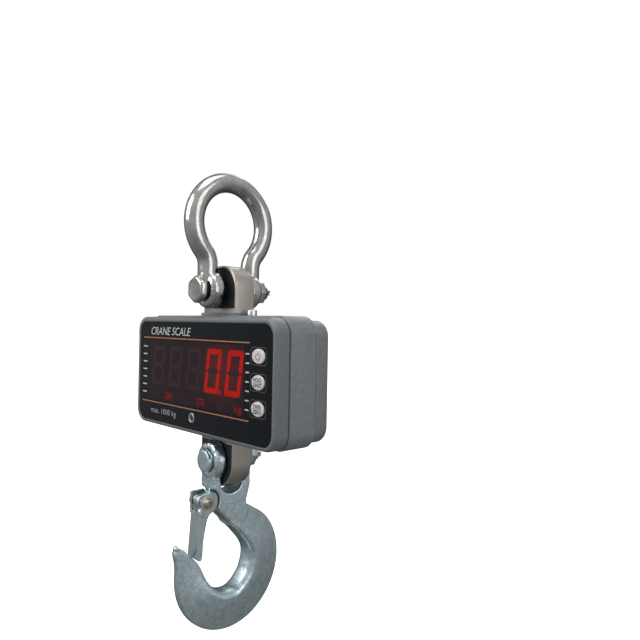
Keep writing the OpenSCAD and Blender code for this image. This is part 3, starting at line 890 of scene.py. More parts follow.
def bow_path():
    """Centre line of the bow in the Y-Z plane, from one eye to the other."""
    bow_r, bow_z, leg_y, bend_r = 30.4, 109.0, 18.6, 16.0
    lean = acos((leg_y + bend_r) / (bow_r + bend_r))
    bend_z = bow_z - (bow_r + bend_r) * sin(lean)
    right = [(0, leg_y, UPPER_PIN + 4 + (bend_z - UPPER_PIN - 4) * i / 8) for i in range(8)]
    for i in range(16):
        a = pi - lean * i / 16
        right.append((0, leg_y + bend_r + bend_r * cos(a), bend_z + bend_r * sin(a)))
    for i in range(48):
        a = -lean + (pi / 2 + lean) * i / 48
        right.append((0, bow_r * cos(a), bow_z + bow_r * sin(a)))
    return right + [(0, 0, bow_z + bow_r)] + [(x, -y, z) for x, y, z in reversed(right)]


def split_pin(name, centre, d, half):
    """A split pin lying along X: eye on the left, legs spread on the right."""
    cx, cy, cz = centre
    legs = []
    for s in (-1, 1):
        path = [(cx - half - 0.4, cy, cz + s * d * 0.22)]
        path += [(cx - half * (1 - 2 * i / 8), cy, cz + s * d * 0.22) for i in range(1, 9)]
        path += [
            (cx + half + 0.9 * sin(a), cy, cz + s * (d * 0.22 + 1.5 * (1 - cos(a))))
            for a in (0.3, 0.6, 0.9, 1.2, 1.5)
        ]
        legs.append(tube(name + "_leg", path, d * 0.3, 14))
    ring = [
        (cx - half - 1.9 + 2.2 * cos(a), cy, cz + 2.0 * sin(a))
        for a in (2 * pi * i / 28 for i in range(28))
    ]
    legs.append(tube(name + "_eye", ring, d * 0.3, 12, closed=True))
    return gather(name, legs)


class CRANE_OT_shackle(bpy.types.Operator):
    """Build the bow, its bolt, nut and split pin"""

    bl_idname = "crane_scale.shackle"
    bl_label = "Shackle"

    def execute(self, context):
        steel = polished_steel()
        r = settings().metal.bar * 500
        parts = [tube("bar", bow_path(), r, 40)]
        for s in (-1, 1):
            eye = [
                (11.4, 12.2), (12.4, 12.35), (13.0, 13.2), (13.0, 17.5), (12.6, 19.6), (11.4, 21.2),
                (9.6, 22.1), (8.4, 22.2)
            ]
            fine = [
                (
                    spline(k / 40, [(i / 7, q[0]) for i, q in enumerate(eye)]),
                    spline(k / 40, [(i / 7, q[1]) for i, q in enumerate(eye)])
                )
                for k in range(41)
            ]
            parts.append(turned("eye", [(r0, s * y) for r0, y in fine], (0, 0, UPPER_PIN), n=110))
        rough_up(parts, 76)
        bow = forge(gather("shackle_bow_forging", parts), 0.48, 4)
        place(bow, "shackle", "stainless", steel, "shackle_bow")

        axis = (0, 0, UPPER_PIN)
        head = [(8.2, -29.3), (8.7, -29.0), (9.35, -28.3), (9.6, -27.6), (9.6, -24.9), (9.2, -24.5)]
        rings = [hexagon_ring(q * 1.06, y, axis, "y", 27, 0.24) for q, y in head]
        bolt = loft("head", rings, angle=40)
        dish = turned("dish", [(6.9, -30), (6.9, -29.15), (6.2, -29.02), (0.4, -29.02)], axis, n=40)
        carve(bolt, dish)
        shank = turned(
            "shank", [(7.0, -24.6), (7.0, 22.2), (5.0, 22.2), (5.0, 32.6), (4.4, 33.2)], axis, n=40
        )
        bolt.data.materials.append(steel)
        # The shank is made near-black: painted shade in the gap between the head and the eye.
        shank.data.materials.append(painted_shade_steel())
        place(gather("shackle_bolt", [bolt, shank]), "shackle", "stainless", None, "shackle_pin")

        rings = [
            hexagon_ring(q, y, axis, "y", 0, 0.06) for q,
            y in ((8.2, 22.32), (8.75, 22.8), (8.8, 28.4), (8.5, 29.0), (7.7, 29.5))
        ]
        rings += [
            [
                at(5.1 * cos(2 * pi * i / 36), y, UPPER_PIN + 5.1 * sin(2 * pi * i / 36))
                for i in range(36)
            ]
            for y in (29.3, 22.32)
        ]
        nut = loft("shackle_bolt_nut", rings, loop=True, angle=40)
        place(nut, "shackle", "stainless", steel, "shackle_nut")
        pin = split_pin("shackle_split_pin", (0, 31.4, UPPER_PIN), 2.2, 7.0)
        place(pin, "shackle", "stainless", bright_screw(), "shackle_cotter")
        return {"FINISHED"}


# ---------------------------------------------------------------- load cell and case


class CRANE_OT_load_cell(bpy.types.Operator):
    """Build the load cell bar and the two seal plates round it"""

    bl_idname = "crane_scale.load_cell"
    bl_label = "Load cell"

    def execute(self, context):
        steps = (
            (-8.2, 0.9), (-8.05, 0.4), (-7.7, 0.1), (-7.2, 0.0), (7.2, 0.0), (7.7, 0.1), (8.05, 0.4),
            (8.2, 0.9)
        )
        bar = loft("cell_body", [outline(39.2, 157.0, 17.2, y, 0.2, inset, 20, 0.0) for y, inset in steps])
        bar.data.materials.append(nickel_bar())
        cell_and_shade_pads = [bar]
        # Thin near-black sheets on the front and back faces where the eyes meet the bar: painted shade and
        # reflection.
        for y, out in ((-8.2, -0.04), (8.2, 0.04)):
            for z0, z1, flip in ((48.2, 77.4, 1), (-47.0, -77.0, -1)):
                w, r = 18.4, 16.0
                shape = [(-w, z0), (w, z0)] + [
                    (w - r + r * cos(a), z1 - flip * (r - r * sin(a)))
                    for a in (pi / 2 * i / 12 for i in range(13))
                ]
                shape += [
                    (r - w - r * cos(a), z1 - flip * (r - r * sin(a)))
                    for a in (pi / 2 * i / 12 for i in range(12, -1, -1))
                ]
                pad = slab("pad", shape, y, y + out)
                pad.data.materials.append(painted_shade_pad())
                cell_and_shade_pads.append(pad)
        place(gather("load_cell_bar", cell_and_shade_pads), "scale_case", "nickel_alloy", None, "load_cell")
        for name, low, high in (("upper_seal", 43.05, 45.2), ("lower_seal", -41.85, -43.6)):
            k = 0.35 if high > low else -0.35
            rings = [
                [at(x, y, z) for x, y in ((w, d), (-w, d), (-w, -d), (w, -d))] for z, w,
                d in ((low, 21.2, 9.4), (high - k, 21.2, 9.4), (high, 20.85, 9.05))
            ]
            place(loft(name + "_plate", rings), "scale_case", "seal_plate", seal_plate(), name)
        return {"FINISHED"}


class CRANE_OT_case(bpy.types.Operator):
    """Build the bezel, the seal, the main shell, the back cover and the battery door"""

    bl_idname = "crane_scale.case"
    bl_label = "Case"

    def execute(self, context):
        paint = case_paint()
        case = settings().case
        w, h = case.width * 1000, case.height * 1000
        bh, r = h - 2.4, case.edge * 1000

        rings = [
            outline(w, bh, 11, -14.3, CASE_Z, 1.3), outline(w, bh, 11, -14.55, CASE_Z, 0.7),
            outline(w, bh, 11, -15.1, CASE_Z, 0.2), outline(w, bh, 11, -16.0, CASE_Z)
        ]
        for i in range(9):
            a = radians(90 * i / 8)
            rings.append(outline(w, bh, 11, -25.6 + r - r * sin(a), CASE_Z, r * (1 - cos(a))))
        rings += [
            outline(166.0, 77.2, 9.1, -25.55, 0.1), outline(165.0, 76.2, 8.7, -25.3),
            outline(164.6, 75.8, 8.4, -24.8)
        ]
        rings += [
            outline(164.5, 75.7, 8.4, -23.25), outline(155, 66.2, 5, -23.25),
            outline(155, 66.2, 5, -21.0)
        ]
        rings += [outline(w - 5.2, bh - 5.2, 9, -21.0, CASE_Z), outline(w - 5.2, bh - 5.2, 9, -14.3, CASE_Z)]
        place(loft("bezel", rings, loop=True), "scale_case", "case_paint", paint, "front_bezel")

        rings = [outline(w - 2.4, bh - 2.4, 10.2, y, CASE_Z) for y in (-14.35, -13.9)]
        rings += [outline(w - 5, bh - 5, 9, y, CASE_Z) for y in (-13.9, -14.35)]
        place(loft("bezel_seal", rings, loop=True), "scale_case", "seal_rubber", seal_rubber(), "case_seal")

        rings = []
        for y, inset in ((-14.0, 1.3), (-13.9, 0.7), (-13.6, 0.25), (-13.0, 0.0), (7.2, 0.0), (7.4, 0.2)):
            rings.append(outline(w, h, 12, y, CASE_Z, inset))
        rings += [outline(w - 5.2, h - 5.2, 10, y, CASE_Z) for y in (7.4, -14.0)]
        place(loft("shell", rings, loop=True), "scale_case", "case_paint", paint, "main_shell")

        rings = [outline(w, 79.6, 11, 7.42, CASE_Z)]
        for i in range(9):
            a = radians(90 * i / 8)
            rings.append(outline(w, 79.6, 11, 16.8 + 2.6 * sin(a), CASE_Z, 2.6 * (1 - cos(a))))
        cover = loft("cover", rings, angle=30)
        tools = [slab("door_seat", [(22.9, -33.5), (71.1, -33.5), (71.1, 34.7), (22.9, 34.7)], 17.8, 21)]
        tools.append(turned("socket_hole", [(4.6, 10), (4.6, 21)], SOCKET, n=32))
        for x in SCREW_X:
            for z in SCREW_Z:
                tools.append(turned("screw_seat", [(3.4, 17.4), (3.4, 21)], (x, 0, CASE_Z + z), n=32))
        carve(cover, *tools)
        shade(cover, 30)
        place(cover, "scale_case", "case_paint", paint, "back_cover")

        plate = loft(
            "door",
            [
                outline(47.4, 67.4, 1.6, y, 0.6, inset, 4, 0.0) for y,
                inset in ((17.95, 0), (19.0, 0), (19.3, 0.25), (19.4, 0.6))
            ]
        )
        for v in plate.data.vertices:
            v.co.x += DOOR_X * 0.001
        seats = [turned("seat", [(2.95, 18.0), (2.95, 21)], (DOOR_X, 0, z), n=28) for z in DOOR_SCREW_Z]
        carve(plate, *seats)
        shade(plate)
        rib = loft(
            "rib",
            [
                [raw(x, y, z) for x, z in ((u, v), (-u, v), (-u, -v), (u, -v))] for u, v,
                y in ((8, 0.45, -0.3), (8, 0.45, 0.15), (7.8, 0.2, 0.35))
            ]
        )
        ribs = repeat("ribs", rib, [(DOOR_X, 19.35, 20 + 1.8 * i) for i in range(-3, 4)], paint)
        plate.data.materials.append(paint)
        place(gather("door_plate", [plate, ribs]), "scale_case", "case_paint", paint, "battery_door")

        socket = turned(
            "socket", [(4.4, 12), (4.4, 18.6), (4.2, 18.9), (3.0, 18.9), (2.8, 18.6), (2.8, 12)],
            SOCKET, n=32, loop=True
        )
        core = turned("core", [(0.9, 12), (0.9, 17.5), (0.6, 18.0)], SOCKET, n=20)
        floor = turned("floor", [(3.2, 11.6), (3.2, 12.2)], SOCKET, n=24)
        place(
            gather("charging_socket", [socket, core, floor]), "scale_case", "part_black",
            black_plastic(), "charge_socket"
        )
        return {"FINISHED"}


def cap_screw(depth):
    """A socket-head cap screw at the row origin, head upwards, drawn in metres."""
    profile = [
        (2.0, -6.0), (2.0, 0.0), (3.2, 0.0), (3.5, 0.25), (3.5, depth - 0.55), (3.2, depth - 0.12),
        (2.9, depth)
    ]
    rings = [
        [raw(q * cos(2 * pi * i / 36), q * sin(2 * pi * i / 36), d) for i in range(36)] for q,
        d in profile
    ]
    rings.append([raw(2.15 * cos(2 * pi * i / 36), 2.15 * sin(2 * pi * i / 36), depth) for i in range(36)])
    for d in (depth - 0.15, depth - 2.1):
        ring = []
        for i in range(36):
            a = 2 * pi * i / 36
            q = 1.65 * cos(pi / 6) / cos((a % (pi / 3)) - pi / 6)
            ring.append(raw(q * cos(a), q * sin(a), d))
        rings.append(ring)
    return loft("cap_screw", rings, angle=40)


def pan_screw(r):
    """A cross-recessed pan head at the row origin, facing back, drawn in metres."""
    rings = [
        [raw(q * cos(2 * pi * i / 32), d, q * sin(2 * pi * i / 32)) for i in range(32)] for q,
        d in ((r * 0.98, -1.1), (r, -0.6), (r * 0.9, -0.25), (r * 0.6, -0.05), (r * 0.3, 0.0))
    ]
    head = loft("pan_screw", rings, angle=40)
    for u, v in ((0.62 * r, 0.14 * r), (0.14 * r, 0.62 * r)):
        tool = loft(
            "slot",
            [[raw(x, y, z) for x, z in ((u, v), (-u, v), (-u, -v), (u, -v))] for y in (-0.8, 0.5)]
        )
        carve(head, tool)
    return head


class CRANE_OT_fasteners(bpy.types.Operator):
    """Set the case's cap screws and the cross-head screws of its back"""

    bl_idname = "crane_scale.fasteners"
    bl_label = "Fasteners"

    def execute(self, context):
        steel = bright_screw()
        top = [(x, 1, CASE_Z + CAP_SCREW_Z) for x in CAP_SCREW_X]
        low = [(x, 1, CASE_Z - CAP_SCREW_Z) for x in CAP_SCREW_X]
        place(
            repeat("upper_cap_screws", cap_screw(4.2), top, steel), "scale_case", "screw_steel", steel,
            "upper_screws"
        )
        place(
            repeat("lower_cap_screws", cap_screw(3.0), low, steel, (pi, 0, 0)), "scale_case",
            "screw_steel", steel, "lower_screws"
        )
        corners = [(x, 18.9, CASE_Z + z) for x in SCREW_X for z in SCREW_Z]
        place(
            repeat("back_screws", pan_screw(3.0), corners, steel), "scale_case", "screw_steel", steel,
            "case_screws"
        )
        door = [(DOOR_X, 19.15, z) for z in DOOR_SCREW_Z]
        place(
            repeat("battery_door_screws", pan_screw(2.7), door, steel), "scale_case", "screw_steel",
            steel, "door_screws"
        )
        return {"FINISHED"}


# ---------------------------------------------------------------- panel


def words(name, text, area, y, material, slant=0.0, heavy=0.0):
    """Plain printed words facing forwards, fitted to an area given as left, right, bottom and top."""
    curve = bpy.data.curves.new(name, "FONT")
    curve.body, curve.size, curve.extrude = text, 10.0, 0.02
    curve.resolution_u, curve.offset, curve.shear = 3, heavy, slant
    holder = bpy.data.objects.new(name, curve)
    bpy.context.scene.collection.objects.link(holder)
    graph = bpy.context.evaluated_depsgraph_get()
    mesh = bpy.data.meshes.new_from_object(holder.evaluated_get(graph))
    bpy.data.objects.remove(holder)
    bpy.data.curves.remove(curve)
    xs, zs = [v.co.x for v in mesh.vertices], [v.co.y for v in mesh.vertices]
    left, right, low, high = area
    for v in mesh.vertices:
        x = left + (right - left) * (v.co.x - min(xs)) / (max(xs) - min(xs))
        z = low + (high - low) * (v.co.y - min(zs)) / (max(zs) - min(zs))
        v.co = at(x, y - v.co.z, z)
    obj = bpy.data.objects.new(name, mesh)
    bpy.context.scene.collection.objects.link(obj)
    mesh.materials.clear()
    mesh.materials.append(material)
    return obj


def bar(name, x0, x1, z0, z1, y, thick, material):
    obj = slab(name, [(x0, z0), (x1, z0), (x1, z1), (x0, z1)], y - thick, y)
    obj.data.materials.append(material)
    return obj


def arc_strip(name, cx, cz, r0, r1, start, end, y, thick, material, n=28):
    shape = [
        (
            cx + r1 * cos(radians(start + (end - start) * i / n)),
            cz + r1 * sin(radians(start + (end - start) * i / n))
        )
        for i in range(n + 1)
    ]
    shape += [
        (
            cx + r0 * cos(radians(end + (start - end) * i / n)),
            cz + r0 * sin(radians(end + (start - end) * i / n))
        )
        for i in range(n + 1)
    ]
    obj = slab(name, shape, y - thick, y)
    obj.data.materials.append(material)
    return obj


class CRANE_OT_panel(bpy.types.Operator):
    """Print the front panel and fit its window and receiver"""

    bl_idname = "crane_scale.panel"
    bl_label = "Front panel"

    def execute(self, context):
        for node, material in (("front_panel", panel_film()), ("display_window", tinted_window_painted_glow())):
            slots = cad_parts[node].material_slots
            for i in range(len(slots)):
                slots[i].material = material
        brown, pale = print_ink("Brown ink", (0.40, 0.135, 0.078)), print_ink("Pale ink", (0.50, 0.51, 0.51))
        dull = print_ink("Dark brown ink", (0.085, 0.04, 0.033))
        y = PANEL_FACE
        lines = [bar("line", -78.2, 58.1, z - 0.38, z + 0.38, y, 0.05, brown) for z in RULE_Z]
        rows = [18.7 - 5.9 * i for i in range(7)]
        for x0, x1, name in ((-78.2, -72.2, "left_ticks"), (54.2, 57.9, "right_ticks")):
            half = (x1 - x0) / 2
            tick = loft(
                "tick",
                [
                    [
                        raw(u, d, v) for u,
                        v in ((half, 0.45), (-half, 0.45), (-half, -0.45), (half, -0.45))
                    ]
                    for d in (-0.05, 0)
                ]
            )
            lines.append(repeat(name, tick, [((x0 + x1) / 2, y, z) for z in rows], pale))
        for z in KEY_Z:
            rings = [
                outline(a, b, c, d, z, x=0.0) for a, b, c,
                d in (
                    (15.8, 11.4, 2.2, y), (15.8, 11.4, 2.2, y - 0.05), (14.9, 10.5, 1.8, y - 0.05),
                    (14.9, 10.5, 1.8, y)
                )
            ]
            box = loft("key_frame", rings, loop=True)
            for v in box.data.vertices:
                v.co.x += KEY_X * 0.001
            box.data.materials.append(dull)
            lines.append(box)
        if settings().display.show_words:
            lines.append(
                words(
                    "title", "CRANE SCALE", (-66.5, -10.5, 28.0, 33.9), y - 0.02, pale, slant=0.25,
                    heavy=0.0
                )
            )
            lines.append(
                words(
                    "capacity", "max. 1000 kg", (-65, -28.5, -32.9, -27.6), y - 0.02,
                    print_ink("Grey print", (0.28, 0.29, 0.30)), heavy=0.02
                )
            )
        place(gather("panel_printing", lines), "scale_case", "print_brown", None, "panel_lines")

        centre = RECEIVER
        ring = turned(
            "receiver_ring",
            [
                (2.2, -23.5), (2.2, -24.7), (2.5, -25.0), (3.0, -25.15), (3.45, -25.0), (3.65, -24.75),
                (3.65, -23.5)
            ],
            centre, n=40, loop=True
        )
        place(
            ring, "scale_case", "screw_steel",
            finish(
                "Receiver ring", (0.34, 0.34, 0.345), (0.26, 0.26, 0.265), (0.3, 0.4), 0.6,
                (200.0, 0.3), (2500.0, 0.000006)
            ),
            "ir_ring"
        )
        lens = turned(
            "receiver_lens", [(2.15, -23.4), (2.15, -24.2), (1.9, -24.6), (1.3, -24.85), (0.5, -24.95)],
            centre, n=32
        )
        place(
            lens, "scale_case", "part_black",
            finish(
                "Receiver lens", (0.012, 0.008, 0.012), (0.02, 0.012, 0.016), (0.08, 0.14), 0.0,
                (200.0, 0.3), (2500.0, 0.000002), coat=0.5
            ),
            "ir_lens"
        )
        return {"FINISHED"}


SEGMENTS = {
    "0": "abcdef", "1": "bc", "2": "abged", "3": "abgcd", "4": "fgbc", "5": "afgcd", "6": "afgedc",
    "7": "abc", "8": "abcdefg", "9": "abcdfg"
}


def segment_shapes(w, h, t, lean):
    """The seven segments of a slanted digit as (x, z) outlines from its lower left corner."""
    g = 0.14
    m = h / 2

    def across(z, kind):
        if kind == "mid":
            shape = [
                (t / 2 + g, z), (t + g * 0.4, z + t / 2), (w - t - g * 0.4, z + t / 2),
                (w - t / 2 - g, z), (w - t - g * 0.4, z - t / 2), (t + g * 0.4, z - t / 2)
            ]
        elif kind == "top":
            shape = [(g + 0.3, z), (w - g - 0.3, z), (w - t - g, z - t), (t + g, z - t)]
        else:
            shape = [(g + 0.3, z), (w - g - 0.3, z), (w - t - g, z + t), (t + g, z + t)]
        return shape

    def upright(x, z0, z1, k, low_flat):
        end, mid = (z0, z1) if low_flat else (z1, z0)
        s = 1 if low_flat else -1
        return [
            (x, end + s * (g + 0.3)), (x + k * t, end + s * (t + g)),
            (x + k * t, mid - s * (t / 2 + g * 0.4)), (x + k * t / 2, mid - s * g),
            (x, mid - s * (t * 0.35))
        ]

    shapes = {"a": across(h, "top"), "d": across(0, "low"), "g": across(m, "mid")}
    shapes["f"], shapes["e"] = upright(0, m, h, 1, False), upright(0, 0, m, 1, True)
    shapes["b"], shapes["c"] = upright(w, m, h, -1, False), upright(w, 0, m, -1, True)
    return {k: [(x + lean * z, z) for x, z in v] for k, v in shapes.items()}


class CRANE_OT_display(bpy.types.Operator):
    """Draw the display's digits, points and small words"""

    bl_idname = "crane_scale.display"
    bl_label = "Display"

    def execute(self, context):
        show = settings().display
        h, pitch = show.digit_height * 1000, show.digit_pitch * 1000
        shapes = segment_shapes(17.0, h, 3.7, 0.14)
        dim, lit, low = dim_segment(), lit_segment(), lit_legend()
        base_x, base_z, y = -65.2, -10.0, WINDOW_FACE
        blank = []
        for shape in shapes.values():
            blank.append(loft("segment", [[raw(x, d, z) for x, z in shape] for d in (-0.03, 0)]))
        dot = [(18.9 + 1.5 * cos(a), 1.5 + 1.5 * sin(a)) for a in (2 * pi * i / 24 for i in range(24))]
        blank.append(loft("point", [[raw(x, d, z) for x, z in dot] for d in (-0.03, 0)]))
        digit = gather("blank_digit", blank)
        parts = [repeat("blank_digits", digit, [(base_x + pitch * i, y, base_z) for i in range(DIGITS)], dim)]
        figures, points = [], set()
        for mark in show.reading:
            if mark == ".":
                points.add(len(figures) - 1)
            else:
                figures.append(mark)
        first = DIGITS - len(figures)
        for i, figure in enumerate(figures):
            x0 = base_x + pitch * (first + i)
            for key in SEGMENTS.get(figure, ""):
                seg = slab("lit", [(x0 + x, base_z + z) for x, z in shapes[key]], y - 0.07, y - 0.02)
                seg.data.materials.append(lit)
                parts.append(seg)
            if i in points:
                seg = slab("lit", [(x0 + x, base_z + z) for x, z in dot], y - 0.07, y - 0.02)
                seg.data.materials.append(lit)
                parts.append(seg)
        if show.show_words:
            for text, x0, x1, on in (
                ("NET", -63.5, -54.5, False), ("ZERO", -45.0, -33.5, True),
                ("HOLD", -24.5, -12.5, False), ("STB", -0.6, 8.4, True), ("lb", 23.0, 29.0, False),
                ("kg", 42.5, 51.0, True)
            ):
                foot = -20.9 if text == "kg" else -19.6
                parts.append(
                    words(
                        "legend", text, (x0, x1, foot, -14.6), y - (0.05 if on else 0.02),
                        low if on else dim, heavy=0.12
                    )
                )
        place(gather("display_segments", parts), "scale_case", "led_red", None, "digit_segments")
        return {"FINISHED"}


class CRANE_OT_keys(bpy.types.Operator):
    """Mould the three keys and print their marks"""

    bl_idname = "crane_scale.keys"
    bl_label = "Keys"

    def execute(self, context):
        white = white_key()
        red, grey = print_ink("Red ink", (0.36, 0.045, 0.04)), print_ink("Grey ink", (0.02, 0.02, 0.024))
        for name, body, z, label in (
            ("power", "power_key", KEY_Z[0], None), ("hold", "hold_key", KEY_Z[1], ("HOLD", "UNIT")),
            ("tare", "tare_key", KEY_Z[2], ("TARE", "ZERO"))
        ):
            steps = (
                (7.4, 5.7, -22.0), (7.4, 5.7, -22.9), (6.4, 4.7, -22.95), (6.4, 4.7, -24.9),
                (6.25, 4.55, -25.15), (5.9, 4.2, -25.32), (5.2, 3.6, -25.42), (4.0, 2.7, -25.46),
                (2.0, 1.4, -25.48)
            )
            cap = loft(name + "_cap", [ellipse(KEY_X, z, a, b, y) for a, b, y in steps], angle=50)
            cap.data.materials.append(white)
            stem = turned("stem", [(2.0, -22.1), (2.0, -18.8)], (KEY_X, 0, z), n=24)
            stem.data.materials.append(white)
            parts, y = [cap, stem], -25.44
            if label:
                parts.append(
                    words(
                        "mark", label[0], (KEY_X - 4.0, KEY_X + 4.0, z + 0.5, z + 2.9), y - 0.03, grey,
                        heavy=0.3
                    )
                )
                parts.append(
                    words(
                        "mark", label[1], (KEY_X - 4.0, KEY_X + 4.0, z - 2.9, z - 0.5), y - 0.03, grey,
                        heavy=0.3
                    )
                )
                parts.append(bar("mark", KEY_X - 4.4, KEY_X + 4.4, z - 0.14, z + 0.14, y, 0.05, grey))
            else:
                parts.append(arc_strip("mark", KEY_X, z - 0.2, 1.75, 2.45, 130, 410, y, 0.05, red))
                parts.append(bar("mark", KEY_X - 0.34, KEY_X + 0.34, z + 0.2, z + 2.7, y, 0.05, red))
            place(gather(name + "_key_cap", parts, 50), body, "key_white", None, name + "_button")
        return {"FINISHED"}


# ---------------------------------------------------------------- hook


INNER = [
    (152, 43.4), (156, 36.6), (160, 30.7), (166, 26.9), (174, 24), (180, 22.8), (190, 21.3), (202, 20),
    (220, 18.3), (235, 17.4), (253, 16.5), (267, 15.9), (276, 15.5), (289, 14.4), (305, 13.4),
    (318, 12.9), (344, 12.9), (365, 14), (388, 16), (411, 17.9), (433, 21.2), (442, 24), (450, 27.2),
    (458, 31)
]
OUTER = [
    (152, 50.7), (156, 50.6), (163, 47.2), (171, 44.8), (180, 44.3), (261, 44.3), (289, 44.2),
    (313, 43.9), (346, 43.6), (420, 43.5), (440, 46), (458, 50)
]
HALF_IN = [
    (152, 2.1), (156, 2.8), (163, 3.4), (180, 4.6), (215, 7.6), (250, 8.9), (400, 8.9), (430, 8.7),
    (458, 8.5)
]
HALF_OUT = [
    (152, 1.3), (156, 2.1), (180, 2.8), (250, 3.4), (360, 3.6), (390, 4.2), (410, 5.6), (430, 7.6),
    (458, 8.5)
]


def bowl_ring(a):
    """The hook's section at one angle round the bowl, inner saddle first."""
    ri, ro = spline(a, INNER), spline(a, OUTER)
    wi, wo, d = spline(a, HALF_IN), spline(a, HALF_OUT), ro - ri
    marks = [
        (0.0, 0.0, 0), (0.004, 0.34, 0), (0.016, 0.58, 0), (0.036, 0.75, 0), (0.062, 0.87, 0),
        (0.10, 0.96, 0), (0.16, 1.0, 0), (0.28, 0.93, 0.04), (0.44, 0.74, 0.22), (0.62, 0.50, 0.46),
        (0.80, 0.24, 0.72), (0.925, 0.04, 0.95), (0.965, 0, 1.0), (0.99, 0, 0.8), (1.0, 0, 0.4)
    ]
    half = [(ri + d * t, wi * p + wo * q) for t, p, q in marks]
    loop = half + [(r, -w) for r, w in reversed(half[1:])]
    c, s = cos(radians(a)), sin(radians(a))
    return [at(w, BOWL_Y + r * c, BOWL_Z + r * s) for r, w in loop]


class CRANE_OT_hook(bpy.types.Operator):
    """Forge the clevis hook and fit its bolt, nut and split pin"""

    bl_idname = "crane_scale.hook"
    bl_label = "Hook"

    def execute(self, context):
        zinc = zinc_forging()
        bowl = loft("bowl", [bowl_ring(152 + (458 - 152) * i / 150) for i in range(151)])
        nose = turned(
            "nose",
            [(0.6, -2.2), (1.3, -1.9), (1.75, -1.1), (1.9, 0), (1.75, 1.1), (1.3, 1.9), (0.6, 2.2)],
            (0, -39.8, -115.9), "x", 28
        )
        shank = side_slab(
            "shank",
            [
                (-15.2, -56), (-15.5, -79), (-14.7, -86), (-9.8, -95.6), (-4, -101.4), (4, -109.4),
                (10, -113), (14, -104), (15.8, -98.6), (14.0, -95.5), (13.5, -91), (15.4, -84.5),
                (16.6, -79), (16.4, -56)
            ],
            -8.3, 8.3, 1.2
        )
        tongue = turned("tongue", [(4.8, -3), (4.8, 3)], (0, PIVOT_Y, PIVOT_Z), "x", 40)
        web = block("web", (-3, PIVOT_Y, PIVOT_Z - 4.8), (3, PIVOT_Y + 14, PIVOT_Z + 4.8))
        slot = [(-8.9, -40), (8.9, -40), (8.9, -77)]
        slot += [
            (8.9 * cos(a), -77 - 6.6 * sin(a)) for a in (pi * i / 24 for i in range(1, 24))
        ] + [(-8.9, -77)]
        carve(shank, side_slab("slot", slot, -20, 20))
        recess = [
            turned("recess", [(9.8, s * 3), (9.8, s * 12)], (0, PIVOT_Y, PIVOT_Z), "x", 48)
            for s in (-1, 1)
        ]
        carve(shank, *recess)
        parts = [bowl, nose, shank, tongue, web]
        for s in (-1, 1):
            ear = [
                (13.3, 8.9), (13.8, 9.2), (14.0, 10.0), (13.9, 12.0), (13.2, 14.2), (12.0, 15.6),
                (10.6, 16.2), (9.4, 16.3), (8.6, 16.25), (8.4, 15.6)
            ]
            parts.append(turned("ear", [(r, s * y) for r, y in ear], (0, 0, LOWER_PIN), n=72))
        hook = forge(gather("forging", parts), 0.52, 5)
        hook.name = "hook_forging"
        rough_up([hook], -80, 0.3, True)
        place(hook, "hook_set", "zinc_steel", zinc, "hook")

        axis = (0, 0, LOWER_PIN)
        head = turned(
            "head",
            [
                (5.6, -16.2), (7.6, -16.3), (7.75, -16.6), (7.75, -18.8), (7.55, -19.3), (7.1, -19.58),
                (5.5, -19.6), (2.0, -19.6)
            ],
            axis, n=48
        )
        shank = turned("shank", [(5.5, -16.6), (5.5, 26.9), (4.9, 27.5)], axis, n=36)
        place(gather("hook_bolt", [head, shank]), "hook_set", "zinc_steel", zinc, "hook_pin")
        rings = [
            hexagon_ring(q, y, axis, "y", 0, 0.06) for q,
            y in ((8.6, 16.45), (9.3, 16.9), (9.4, 22.2), (9.0, 22.9), (8.2, 23.3))
        ]
        rings += [
            [
                at(5.6 * cos(2 * pi * i / 36), y, LOWER_PIN + 5.6 * sin(2 * pi * i / 36))
                for i in range(36)
            ]
            for y in (23.1, 16.45)
        ]
        place(
            loft("hook_bolt_nut", rings, loop=True, angle=40), "hook_set", "zinc_steel", zinc,
            "hook_pin_nut"
        )
        place(
            split_pin("hook_split_pin", (0, 25.4, LOWER_PIN), 2.3, 7.5), "hook_set", "screw_steel",
            bright_screw(), "hook_cotter"
        )
        return {"FINISHED"}


# ---------------------------------------------------------------- latch


